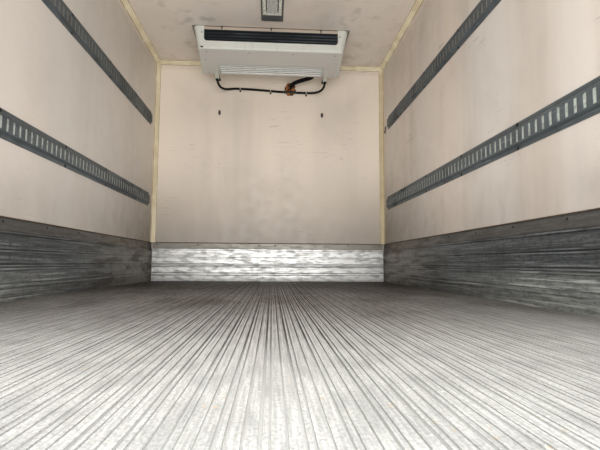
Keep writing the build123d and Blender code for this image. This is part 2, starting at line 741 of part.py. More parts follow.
def strap(centre):
    """Cranked hinge strap on the leaf, with its knuckle."""
    z0 = centre - STRAP_HEIGHT / 2
    half = STRAP_SHEET / 2
    crank = HALF_IN - DOOR_GAP - STRAP_EDGE
    rise = crank + STRAP_RISE
    outline = [(HALF_IN - STRAP_REACH, Y_TAIL), (HALF_IN - STRAP_REACH, Y_TAIL - STRAP_SHEET)]
    outline += [(crank, Y_TAIL - STRAP_SHEET), (rise, HINGE_Y - half), (HINGE_X, HINGE_Y - half)]
    outline += [(HINGE_X, HINGE_Y + half), (rise + half, HINGE_Y + half), (crank + half, Y_TAIL)]
    plate = prism([(x, y, z0) for x, y in outline], (0, 0, STRAP_HEIGHT))
    knuckle = bar((HINGE_X, HINGE_Y, z0), (HINGE_X, HINGE_Y, z0 + STRAP_HEIGHT), KNUCKLE_RADIUS)
    bore = bar((HINGE_X, HINGE_Y, z0 - 1), (HINGE_X, HINGE_Y, z0 + STRAP_HEIGHT + 1), PIN_RADIUS + PIN_CLEARANCE)
    return plate + knuckle - bore


def hinge_bracket(centre):
    """Frame side of a hinge: plate, two knuckles and the pin."""
    z0 = centre - BRACKET_HEIGHT / 2
    z1 = z0 + BRACKET_HEIGHT
    low = centre - STRAP_HEIGHT / 2 - KNUCKLE_GAP
    high = centre + STRAP_HEIGHT / 2 + KNUCKLE_GAP
    plate = block((HALF_FRAME, HALF_FRAME + STRAP_SHEET), (HINGE_Y, Y_DOORWAY - BRACKET_MARGIN), (z0, z1))
    room = KNUCKLE_RADIUS + KNUCKLE_ROOM
    notch = block((HALF_FRAME - 1, HINGE_X + room), (HINGE_Y - room, Y_TAIL - 4), (low, high))
    knuckles = [bar((HINGE_X, HINGE_Y, start), (HINGE_X, HINGE_Y, end), KNUCKLE_RADIUS)
                for start, end in ((z0, low), (high, z1))]
    pin = bar((HINGE_X, HINGE_Y, z0), (HINGE_X, HINGE_Y, z1), PIN_RADIUS)
    return fused([plate - notch] + knuckles + [pin])


def lock_gear():
    """Lock rod with its cams, guides and lever, drawn unlocked."""
    y = Y_TAIL - ROD_OFF_FACE
    low, high = Z_FLOOR - ROD_OVERLAP, Z_CEILING + ROD_OVERLAP
    pieces = [bar((ROD_X, y, low), (ROD_X, y, high), ROD_RADIUS)]
    half = CAM_WIDTH / 2
    hook = [(-half, 6), (-half - 2, -0.6 * CAM_REACH), (-half / 3, -CAM_REACH), (half, -0.9 * CAM_REACH), (half, 6)]
    for level in (Z_FLOOR - CAM_BELOW_FLOOR, Z_CEILING + CAM_OVER_CEILING):
        pieces.append(prism([(ROD_X + across, y + along, level) for across, along in hook], (0, 0, CAM_THICK)))
    half = GUIDE_WIDTH / 2
    cap = ROD_RADIUS + 4.5
    for level in (Z_FLOOR + GUIDE_END, Z_FLOOR + GUIDE_MIDDLE, Z_CEILING - GUIDE_MIDDLE, Z_CEILING - GUIDE_END):
        tall = (level - GUIDE_HEIGHT / 2, level + GUIDE_HEIGHT / 2)
        pieces.append(block((ROD_X - half, ROD_X + half), (Y_TAIL - GUIDE_PLATE, Y_TAIL), tall))
        pieces.append(block((ROD_X - cap, ROD_X + cap), (y - cap, Y_TAIL), (tall[0] + 5, tall[1] - 5)))
    lever_z = Z_FLOOR + LEVER_LEVEL
    tall = (lever_z - LEVER_HEIGHT / 2, lever_z + LEVER_HEIGHT / 2)
    end = ROD_X + LEVER_LENGTH
    pieces.append(block((ROD_X - cap, ROD_X + cap), (y - cap, y + 8), (tall[0] - 11, tall[1] + 11)))
    pieces.append(block((ROD_X, end), (y - cap, y - cap + LEVER_THICK), tall))
    pieces.append(block((end - 60, end - 25), (y - cap + LEVER_THICK - 2, Y_TAIL), (tall[0] - 15, tall[1] + 15)))
    return fused(pieces)


def folded(piece):
    """Right-hand door piece turned from closed to folded back along the side."""
    return Pos(HINGE_X, HINGE_Y, 0) * Rot(0, 0, FOLD_ANGLE) * Pos(-HINGE_X, -HINGE_Y, 0) * piece


def lock_keeper(level):
    """Keeper on the rear frame beside a cam."""
    x0 = ROD_X + ROD_RADIUS + KEEPER_GAP
    half = KEEPER_HEIGHT / 2
    base = block((x0, x0 + KEEPER_WIDTH), (Y_TAIL - GUIDE_PLATE, Y_TAIL), (level - half, level + half))
    ears = [block((x0, x0 + KEEPER_WIDTH - 10), (Y_TAIL - KEEPER_REACH, Y_TAIL), (start, start + KEEPER_EAR))
            for start in (level - half + KEEPER_EAR, level + half - 2 * KEEPER_EAR)]
    return fused([base] + ears)


def door_buffer(y, level):
    """Rubber buffer on the side wall behind a folded door."""
    reach = HINGE_X + HINGE_BEHIND - BUFFER_GAP
    base = bar((HALF_OUT, y, level), (HALF_OUT + BUFFER_BASE, y, level), BUFFER_BASE_RADIUS)
    return base + bar((HALF_OUT, y, level), (reach, y, level), BUFFER_RADIUS)


# Subframe
def runner():
    """Right channel runner, its web outward and its front end cut back below."""
    x1 = RUNNER_SPACING / 2 + RUNNER_WIDTH / 2
    x0 = x1 - RUNNER_WIDTH
    end = Y_NOSE - RUNNER_END_INSET
    body = block((x0, x1), (Y_TAIL + RUNNER_END_INSET, end), (0, RUNNER_HEIGHT))
    hollow = block((x0 - 1, x1 - RUNNER_WALL), (Y_TAIL, Y_NOSE), (RUNNER_WALL, RUNNER_HEIGHT - RUNNER_WALL))
    cut = [(end - RUNNER_CUT, -1), (end + 1, -1), (end + 1, RUNNER_HEIGHT - RUNNER_NOSE_HEIGHT)]
    return body - hollow - prism([(x0 - 1, y, z) for y, z in cut], (RUNNER_WIDTH + 2, 0, 0))


def cross_bearer(y):
    """Channel bearer across the runners, open to the rear."""
    half = HALF_OUT - BEARER_SIDE_INSET
    low, high = RUNNER_HEIGHT, Z_PANEL
    outline = [(y, low), (y + BEARER_WIDTH, low), (y + BEARER_WIDTH, high), (y, high)]
    outline += [(y, high - BEARER_WALL), (y + BEARER_WIDTH - BEARER_WALL, high - BEARER_WALL)]
    outline += [(y + BEARER_WIDTH - BEARER_WALL, low + BEARER_WALL), (y, low + BEARER_WALL)]
    return prism([(-half, along, up) for along, up in outline], (2 * half, 0, 0))


def chassis_foot(y):
    """Welded foot on the right runner with its chassis bolt hole."""
    x0 = RUNNER_SPACING / 2 + RUNNER_WIDTH / 2
    flange = block((x0, x0 + FOOT_REACH), (y - FOOT_LENGTH / 2, y + FOOT_LENGTH / 2), (0, FOOT_PLATE))
    top = RUNNER_HEIGHT - 10
    plate = block((x0, x0 + FOOT_UPRIGHT), (y - FOOT_LENGTH / 2, y + FOOT_LENGTH / 2), (0, top))
    corners = [(x0, 0), (x0 + FOOT_REACH - 6, 0), (x0, top - 10)]
    gussets = [prism([(x, along, z) for x, z in corners], (0, FOOT_GUSSET, 0))
               for along in (y - FOOT_LENGTH / 2, y + FOOT_LENGTH / 2 - FOOT_GUSSET)]
    hole = bar((x0 + BOLT_OFFSET, y, -1), (x0 + BOLT_OFFSET, y, FOOT_PLATE + 1), BOLT_RADIUS)
    return fused([flange, plate] + gussets) - hole


# Nose condenser unit
COND_Z1 = Z_TOP - COND_DROP
COND_Z0 = COND_Z1 - COND_HEIGHT
COND_Y1 = Y_NOSE + COND_DEPTH
COND_GRILLE_Z = (COND_Z1 - COND_GRILLE_DROP - COND_GRILLE_HEIGHT, COND_Z1 - COND_GRILLE_DROP)


def condenser_form(inset):
    """Condenser cover's outer form, or its inside when it is inset by the wall."""
    y0 = Y_NOSE
    outline = [(-COND_HALF_REAR + inset, y0), (COND_HALF_REAR - inset, y0)]
    outline += [(COND_HALF_FRONT - inset, COND_Y1 - inset), (-COND_HALF_FRONT + inset, COND_Y1 - inset)]
    form = prism([(x, y, COND_Z0 + inset) for x, y in outline], (0, 0, COND_HEIGHT - 2 * inset))
    corners = [edge for edge in form.edges() if edge.center().Y > COND_Y1 - inset - 1 and abs(edge.center().X) > 100]
    form = fillet(corners, COND_CORNER - inset)
    front_edges = [edge for edge in form.edges() if edge.center().Y > y0 + 1
                   and (edge.center().Z > COND_Z1 - inset - 1 or edge.center().Z < COND_Z0 + inset + 1)]
    return chamfer(front_edges, COND_EDGE - inset)


def condenser_housing():
    """Moulded cover, open to the wall behind it, at its front grille and at its side vents."""
    inner = condenser_form(COND_WALL)
    grille = block((-COND_GRILLE_HALF, COND_GRILLE_HALF), (COND_Y1 - 40, COND_Y1 + 1), COND_GRILLE_Z)
    vents = []
    for index in range(VENT_COUNT):
        low = COND_Z0 + VENT_RAISE + index * VENT_PITCH
        y_range = (Y_NOSE + VENT_BACK, Y_NOSE + VENT_BACK + VENT_LENGTH)
        vents.append(block((-COND_HALF_REAR - 1, COND_HALF_REAR + 1), y_range, (low, low + VENT_HEIGHT)))
    return condenser_form(0) - inner - grille - vents


def condenser_grille():
    """Front grille of level slats on uprights."""
    low, high = COND_GRILLE_Z
    y_range = (COND_Y1 - 24, COND_Y1 - 2)
    outside = block((-COND_GRILLE_HALF, COND_GRILLE_HALF), y_range, COND_GRILLE_Z)
    hole_x = COND_GRILLE_HALF - COND_GRILLE_RIM
    hole = block((-hole_x, hole_x), (COND_Y1 - 60, COND_Y1 + 1), (low + COND_GRILLE_RIM, high - COND_GRILLE_RIM))
    pitch = COND_GRILLE_HEIGHT / (COND_SLATS + 1)
    slats = [Pos(0, COND_Y1 - 13, low + pitch * (index + 1)) * Rot(25, 0, 0)
             * Box(2 * hole_x + 8, SLAT_DEPTH, COND_SLAT_SHEET) for index in range(COND_SLATS)]
    uprights = [block((x - 2, x + 2), (COND_Y1 - 20, COND_Y1 - 6), (low + 8, high - 8))
                for x in (-COND_GRILLE_HALF / 3, COND_GRILLE_HALF / 3)]
    return fused([outside - hole] + slats + uprights)


COND_FAN_Z = (COND_GRILLE_Z[0] + COND_GRILLE_Z[1]) / 2
COND_FAN_Y = COND_Y1 - COND_FAN_BACK


def condenser_fan(x):
    """Condenser fan facing forward behind the grille."""
    blades = fan(COND_FAN_RADIUS, COND_FAN_HUB_RADIUS, COND_FAN_HUB, 6, 24)
    return Pos(x, COND_FAN_Y, COND_FAN_Z) * Rot(90, 0, 0) * blades


def condenser_motor(x):
    """Fan motor carried by the condenser coil."""
    y0 = Y_NOSE + COND_COIL_BACK + COND_COIL_DEPTH
    y1 = COND_FAN_Y - COND_FAN_HUB - MOTOR_GAP
    motor = bar((x, y0, COND_FAN_Z), (x, y1, COND_FAN_Z), COND_MOTOR_RADIUS)
    shaft = bar((x, y1 - 5, COND_FAN_Z), (x, COND_FAN_Y - COND_FAN_HUB / 2 - 2, COND_FAN_Z), SHAFT_RADIUS)
    return motor + shaft


def marker_lamp(x, y, z, facing):
    """Marker lamp on an outer face, its front edges bevelled."""
    size = (MARKER_DEPTH, MARKER_LENGTH) if facing[0] else (MARKER_LENGTH, MARKER_DEPTH)
    centre = Vector(x, y, z) + Vector(*facing) * (MARKER_DEPTH / 2)
    lamp = Pos(*centre) * Box(*size, MARKER_HEIGHT)
    front = lamp.faces().sort_by(lambda face: face.center().dot(Vector(*facing)))[-1]
    return chamfer(front.edges(), MARKER_BEVEL)


# Build and write every node
panels = envelope(0)
right_wall = block((HALF_IN, HALF_OUT), (Y_DOORWAY, Y_NOSE), (Z_DECK, Z_CEILING)) & panels
write("floor_panel", block((-HALF_OUT, HALF_OUT), (Y_DOORWAY, Y_NOSE), (Z_PANEL, Z_DECK)) & panels)
write("tread_floor", tread_floor())
write("right_wall", right_wall)
write("left_wall", mirror(right_wall, about=Plane.YZ))
write("front_wall", block((-HALF_IN, HALF_IN), (Y_BULKHEAD, Y_NOSE), (Z_DECK, Z_CEILING)))
write("roof_panel", block((-HALF_OUT, HALF_OUT), (Y_DOORWAY, Y_NOSE), (Z_CEILING, Z_TOP)) & panels)
write("rear_frame", rear_frame())
write("edge_cappings", edge_cappings(panels))
write("cove_trims", cove_trims())

write("kick_plate_right", side_kick_plate())
write("kick_plate_left", mirror(side_kick_plate(), about=Plane.YZ))
write("kick_plate_front", front_kick_plate())

# Load rails: name, side, height of the centre, gap to the bulkhead
for name, side, level, gap in [
    ("load_rail_right_lower", 1, RAIL_LOWER_RIGHT, RAIL_FRONT_GAP),
    ("load_rail_right_upper", 1, RAIL_UPPER_RIGHT, RAIL_LONG_GAP),
    ("load_rail_left_lower", -1, RAIL_LOWER_LEFT, RAIL_FRONT_GAP),
    ("load_rail_left_upper", -1, RAIL_UPPER_LEFT, RAIL_FRONT_GAP),
]:
    rail = load_rail(level, gap)
    write(name, rail if side > 0 else mirror(rail, about=Plane.YZ))

lamp_base, lamp_frame, lamp_lens = lamp_pieces()
write("lamp_base", lamp_base)
write("lamp_frame", lamp_frame)
write("lamp_lens", lamp_lens)

write("evaporator_housing", evaporator_housing())
write("evaporator_grille", evaporator_grille())
write("evaporator_louvre", evaporator_louvre())
coil_y = (EVAP_Y0 + EVAP_COIL_BACK, EVAP_Y0 + EVAP_COIL_BACK + EVAP_COIL_DEPTH)
coil_z = (EVAP_Z0_FRONT + EVAP_WALL, Z_CEILING - EVAP_WALL)
coil = block((-EVAP_COIL_HALF, EVAP_COIL_HALF), coil_y, coil_z)
write("evaporator_coil", coil)
evap_fan_x = [EVAP_FAN_SPACING * step for step in (-1, 0, 1)]
write("evaporator_motors", *[evaporator_motor(x) for x in evap_fan_x])
for name, x in zip(("left", "middle", "right"), evap_fan_x):
    blades = fan(EVAP_FAN_RADIUS, EVAP_FAN_HUB_RADIUS, EVAP_FAN_HUB, 5, 28)
    write(f"evaporator_fan_{name}", Pos(x, EVAP_FAN_Y, EVAP_FAN_Z) * blades)

write("drain_spigots", drain_spigot(LEFT_HOSE[0]), drain_spigot(RIGHT_HOSE[0]))
write("drain_hose_left", tube(LEFT_HOSE, HOSE_RADIUS, "left hose"))
write("drain_hose_right", tube(RIGHT_HOSE, HOSE_RADIUS, "right hose"))
write("pipe_bundle", tube(PIPE_ROUTE, PIPE_RADIUS, "pipe bundle"))
write("pipe_foam", pipe_foam())
write("hose_clips", hose_clip(LEFT_HOSE, -314), hose_clip(LEFT_HOSE, -8), hose_clip(RIGHT_HOSE, 355))
write("bulkhead_fittings", *both_sides(bulkhead_fitting()))

write("subframe_runners", *both_sides(runner()))
first_bearer = Y_TAIL + BEARER_END_INSET
bearer_pitch = (Y_NOSE - BEARER_END_INSET - BEARER_WIDTH - first_bearer) / (BEARER_COUNT - 1)
write("cross_bearers", *[cross_bearer(first_bearer + bearer_pitch * index) for index in range(BEARER_COUNT)])
feet = [chassis_foot(y) for y in (-BOLT_SPACING_Y / 2, BOLT_SPACING_Y / 2)]
write("chassis_feet", *[copy for foot in feet for copy in both_sides(foot)])

door_pieces = {
    "door_leaf": [leaf()],
    "door_gasket": gasket(),
    "door_kick_plate": [door_kick_plate()],
    "door_straps": [strap(centre) for centre in hinge_heights()],
    "door_lock_gear": [lock_gear()],
}
for name, pieces in door_pieces.items():
    right = [folded(piece) for piece in pieces]
    write(f"{name}_right", *right)
    write(f"{name}_left", *[mirror(piece, about=Plane.YZ) for piece in right])
write("hinge_brackets", *[copy for centre in hinge_heights() for copy in both_sides(hinge_bracket(centre))])
keeper_levels = (Z_FLOOR - KEEPER_LEVEL, Z_CEILING + KEEPER_LEVEL)
write("lock_keepers", *[copy for level in keeper_levels for copy in both_sides(lock_keeper(level))])
buffer_y = HINGE_Y + HINGE_X - BUFFER_FROM_HINGE
buffers = [door_buffer(buffer_y, Z_FLOOR + level) for level in BUFFER_LEVELS]
write("door_buffers", *[copy for buffer in buffers for copy in both_sides(buffer)])

write("condenser_housing", condenser_housing())
write("condenser_grille", condenser_grille())
coil_y = (Y_NOSE + COND_COIL_BACK, Y_NOSE + COND_COIL_BACK + COND_COIL_DEPTH)
coil = block((-COND_COIL_HALF, COND_COIL_HALF), coil_y, (COND_Z0 + COND_WALL, COND_Z1 - COND_WALL))
write("condenser_coil", coil)
seat = COND_Z0 + COND_WALL
compressor_x = (-COMPRESSOR_WIDTH / 2, COMPRESSOR_WIDTH / 2)
write("condenser_compressor", block(compressor_x, (Y_NOSE, Y_NOSE + COMPRESSOR_DEPTH), (seat, seat + COMPRESSOR_HEIGHT)))
cond_fan_x = (-COND_FAN_SPACING / 2, COND_FAN_SPACING / 2)
write("condenser_motors", *[condenser_motor(x) for x in cond_fan_x])
for name, x in zip(("left", "right"), cond_fan_x):
    write(f"condenser_fan_{name}", condenser_fan(x))

# Marker lamps on the outside: x, y, z, and the way they face
marker_places = [
    (MARKER_END_X, Y_TAIL, Z_TOP - MARKER_DROP, (0, -1, 0)),
    (MARKER_END_X, Y_NOSE + CAPPING_SHEET, Z_TOP - MARKER_DROP, (0, 1, 0)),
]
marker_places += [(HALF_FRAME, y, Z_PANEL + MARKER_RAISE, (1, 0, 0)) for y in (-MARKER_SPACING, 0, MARKER_SPACING)]
write("marker_lamps", *[copy for place in marker_places for copy in both_sides(marker_lamp(*place))])
dock_x1 = HALF_OUT - DOCK_INSET
dock = block((dock_x1 - DOCK_WIDTH, dock_x1), (Y_TAIL - DOCK_DEPTH, Y_TAIL), (Z_PANEL + DOCK_MARGIN, Z_DECK - DOCK_MARGIN))
write("dock_buffers", *both_sides(chamfer(dock.faces().sort_by(Axis.Y)[0].edges(), DOCK_BEVEL)))
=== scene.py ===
"""Finish and small parts of a refrigerated truck's box body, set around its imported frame.

Sizes are in metres, in the frame's own axes: +Y forward to the cab, +X right, +Z up.
Colours are written as they are seen, from 0 to 255, and turned linear where a shader takes them.
"""
from __future__ import annotations

import json
import logging
import math
from dataclasses import dataclass, field
from enum import Enum

import bpy
from mathutils import Matrix, Vector


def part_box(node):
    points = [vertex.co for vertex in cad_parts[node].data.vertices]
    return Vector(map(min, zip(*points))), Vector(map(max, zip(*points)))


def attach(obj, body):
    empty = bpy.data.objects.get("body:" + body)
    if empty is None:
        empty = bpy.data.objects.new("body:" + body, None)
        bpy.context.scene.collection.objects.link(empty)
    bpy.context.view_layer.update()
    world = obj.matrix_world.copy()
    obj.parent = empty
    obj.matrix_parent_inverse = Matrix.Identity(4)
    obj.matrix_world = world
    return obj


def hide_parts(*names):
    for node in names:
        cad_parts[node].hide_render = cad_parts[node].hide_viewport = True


LOG = logging.getLogger("box_body")

Pair = tuple[float, float]
Triple = tuple[float, float, float]
Row = tuple[float, ...]
Piece = bpy.types.Object
Socket = bpy.types.NodeSocket
Source = "Socket | float | Triple"
Place = tuple[Triple, Triple]

EVEN: Triple = (1.0, 1.0, 1.0)
ORIGIN: Triple = (0.0, 0.0, 0.0)
RIGHT_ANGLE = math.radians(90)
SIDES = (-1, 1)

# Faces and edges of the body that several pieces line up with
HALF_IN = 1.150
HALF_OUT = 1.225
HALF_FRAME = 1.228
Y_DOORWAY = -2.250
Y_TAIL = -2.335
Y_BULKHEAD = 2.250
Y_NOSE = 2.340
Z_PANEL = 0.190
Z_FLOOR = 0.300
Z_CEILING = 2.503
Z_TOP = 2.588
KICK_TOP = 0.672
CAPPING = 0.003
HINGE_Z = (0.490, 1.4015, 2.313)
MARKER_Y = (-1.7, 0.0, 1.7)


class Axis(Enum):
    """Direction along which a surface was drawn, brushed or scratched."""

    X = (0.02, 1.0, 1.0)
    Y = (1.0, 0.02, 1.0)
    Z = (1.0, 1.0, 0.02)


class Part(Enum):
    """What is selected on a mesh."""

    FACE = "polygons"
    EDGE = "edges"


def linear(colour: Triple) -> Row:
    """Turn a seen colour into a linear one.

    Args:
        colour: Red, green and blue from 0 to 255.

    Returns:
        Linear red, green and blue from 0 to 1, with an alpha of 1.
    """
    parts = [channel / 255 for channel in colour]
    parts = [part / 12.92 if part <= 0.04045 else ((part + 0.055) / 1.055) ** 2.4 for part in parts]
    return (*parts, 1.0)


def toned(colour: Triple, gain: float, lift: float = 0.0) -> Triple:
    """A colour made darker or brighter."""
    return tuple(min(255.0, gain * channel + lift) for channel in colour)


@dataclass
class Finish:
    """A surface finish: a material's node graph, drawn by short calls that pass sockets along."""

    name: str
    colour: Triple
    roughness: float = 0.5

    def build(self) -> bpy.types.Material:
        """Start a Principled material and draw the finish on it.

        Returns:
            The finished material.
        """
        material = bpy.data.materials.new(self.name)
        material.use_nodes = True
        self.tree = material.node_tree
        self.tree.nodes.clear()
        self.shader = self.node("ShaderNodeBsdfPrincipled")
        self.node("ShaderNodeOutputMaterial", {0: self.shader.outputs[0]})
        self.coordinates = self.node("ShaderNodeTexCoord").outputs
        self.x, self.y, self.z = self.split("Object")
        self.off_middle = self.maths("ABSOLUTE", self.x)
        self.tint: Source = self.colour
        self.draw()
        self.feed(self.shader.inputs["Base Color"], self.tint)
        return material

    def draw(self) -> None:
        """Leave the one plain colour."""
        self.shine(self.roughness)

    def node(self, kind: str, inputs: dict[int | str, Source] | None = None,
             **settings: str) -> bpy.types.Node:
        """Add a node, set its properties and feed it.

        Args:
            kind: The node's type.
            inputs: What its inputs are fed with.
            settings: Properties by name.

        Returns:
            The new node.
        """
        made = self.tree.nodes.new(kind)
        for key, value in settings.items():
            setattr(made, key, value)
        for key, value in (inputs or {}).items():
            self.feed(made.inputs[key], value)
        return made

    def feed(self, socket: Socket, value: Source) -> None:
        """Link an input to another socket, or set its own value.

        Args:
            socket: The input that is fed.
            value: An output socket, a number, a vector or a seen colour.
        """
        if isinstance(value, Socket):
            self.tree.links.new(value, socket)
        elif isinstance(value, tuple) and socket.type == "RGBA":
            socket.default_value = linear(value)
        else:
            socket.default_value = value

    def split(self, coordinates: str) -> tuple[Socket, ...]:
        """The x, y and z of the object's coordinates or of its normal."""
        return tuple(self.node("ShaderNodeSeparateXYZ", {0: self.coordinates[coordinates]}).outputs)

    def stretched(self, stretch: Triple, offset: Triple, turn: Triple = ORIGIN) -> Socket:
        """Coordinates scaled per axis, shifted and turned, for streaks and scratches."""
        return self.node("ShaderNodeMapping", {"Vector": self.coordinates["Object"], "Rotation": turn,
                                               "Scale": stretch, "Location": offset}).outputs[0]

    def noise(self, scale: float, detail: float = 3.0, stretch: Triple = EVEN, offset: Triple = ORIGIN,
              warp: float = 0.0, turn: Triple = ORIGIN) -> Socket:
        """Soft noise: cells in a metre and octaves, with a stretch, shift, warp and turn of its own."""
        place = self.stretched(stretch, offset, turn)
        return self.node("ShaderNodeTexNoise", {"Vector": place, "Scale": scale, "Detail": detail,
                                                "Distortion": warp}).outputs[0]

    def cloud(self, scale: float, detail: float, start: float, end: float, stretch: Triple = EVEN,
              offset: Triple = ORIGIN, low: float = 0.0, high: float = 1.0, warp: float = 0.0) -> Socket:
        """Noise stepped between two of its values, given as in noise and ramp."""
        return self.ramp(self.noise(scale, detail, stretch, offset, warp), start, end, low, high)

    def spots(self, scale: float, size: float, offset: Triple = ORIGIN) -> Socket:
        """Small separate specks, whose radius is a share of their cell."""
        made = self.node("ShaderNodeTexVoronoi", {"Vector": self.stretched(EVEN, offset), "Scale": scale})
        return self.ramp(made.outputs["Distance"], size, 0.5 * size)

    def ramp(self, value: Source, start: float, end: float, low: float = 0.0, high: float = 1.0) -> Socket:
        """Smooth step of a value.

        Args:
            value: What is measured.
            start: Where the result is low.
            end: Where the result is high.
            low: Result before the start.
            high: Result past the end.

        Returns:
            The stepped value.
        """
        inputs = {"Value": value, "From Min": start, "From Max": end, "To Min": low, "To Max": high}
        return self.node("ShaderNodeMapRange", inputs, interpolation_type="SMOOTHSTEP").outputs[0]

    def maths(self, operation: str, *values: Source) -> Socket:
        """Arithmetic on one value, or on several from the left.

        Args:
            operation: Name of the arithmetic step.
            values: What it works on.

        Returns:
            The result.
        """
        result = values[0]
        for value in values[1:] or (0.0,):
            result = self.node("ShaderNodeMath", {0: result, 1: value}, operation=operation).outputs[0]
        return result

    def times(self, *values: Source) -> Source:
        """Product of one or more values."""
        return self.maths("MULTIPLY", *values) if len(values) > 1 else values[0]

    def band(self, value: Source, centre: float, half: float, soft: float) -> Socket:
        """A value of 1 within a band about a centre, with soft edges."""
        away = self.maths("ABSOLUTE", self.maths("SUBTRACT", value, centre))
        return self.ramp(away, half + soft, half)

    def blend(self, share: Source, first: Source, second: Source) -> Socket:
        """Mix two colours by a share."""
        return self.node("ShaderNodeMix", {"Factor": share, 6: first, 7: second}, data_type="RGBA").outputs[2]

    def lay(self, layer: Source, *shares: Source) -> None:
        """Lay a colour over what is there, by the product of some shares."""
        self.tint = self.blend(self.times(*shares), self.tint, layer)

    def bump(self, height: Source, depth: float, strength: float = 1.0) -> None:
        """Raise the surface by a height pattern from 0 to 1, as deep as 1 stands."""
        made = self.node("ShaderNodeBump", {"Strength": strength, "Distance": depth, "Height": height})
        self.feed(self.shader.inputs["Normal"], made.outputs[0])

    def shine(self, roughness: Source, metallic: float = 0.0, **more: float) -> None:
        """Set the roughness, the metalness and further inputs, with underscores for spaces."""
        for key, value in {"Roughness": roughness, "Metallic": metallic, **more}.items():
            self.feed(self.shader.inputs[key.replace("_", " ")], value)


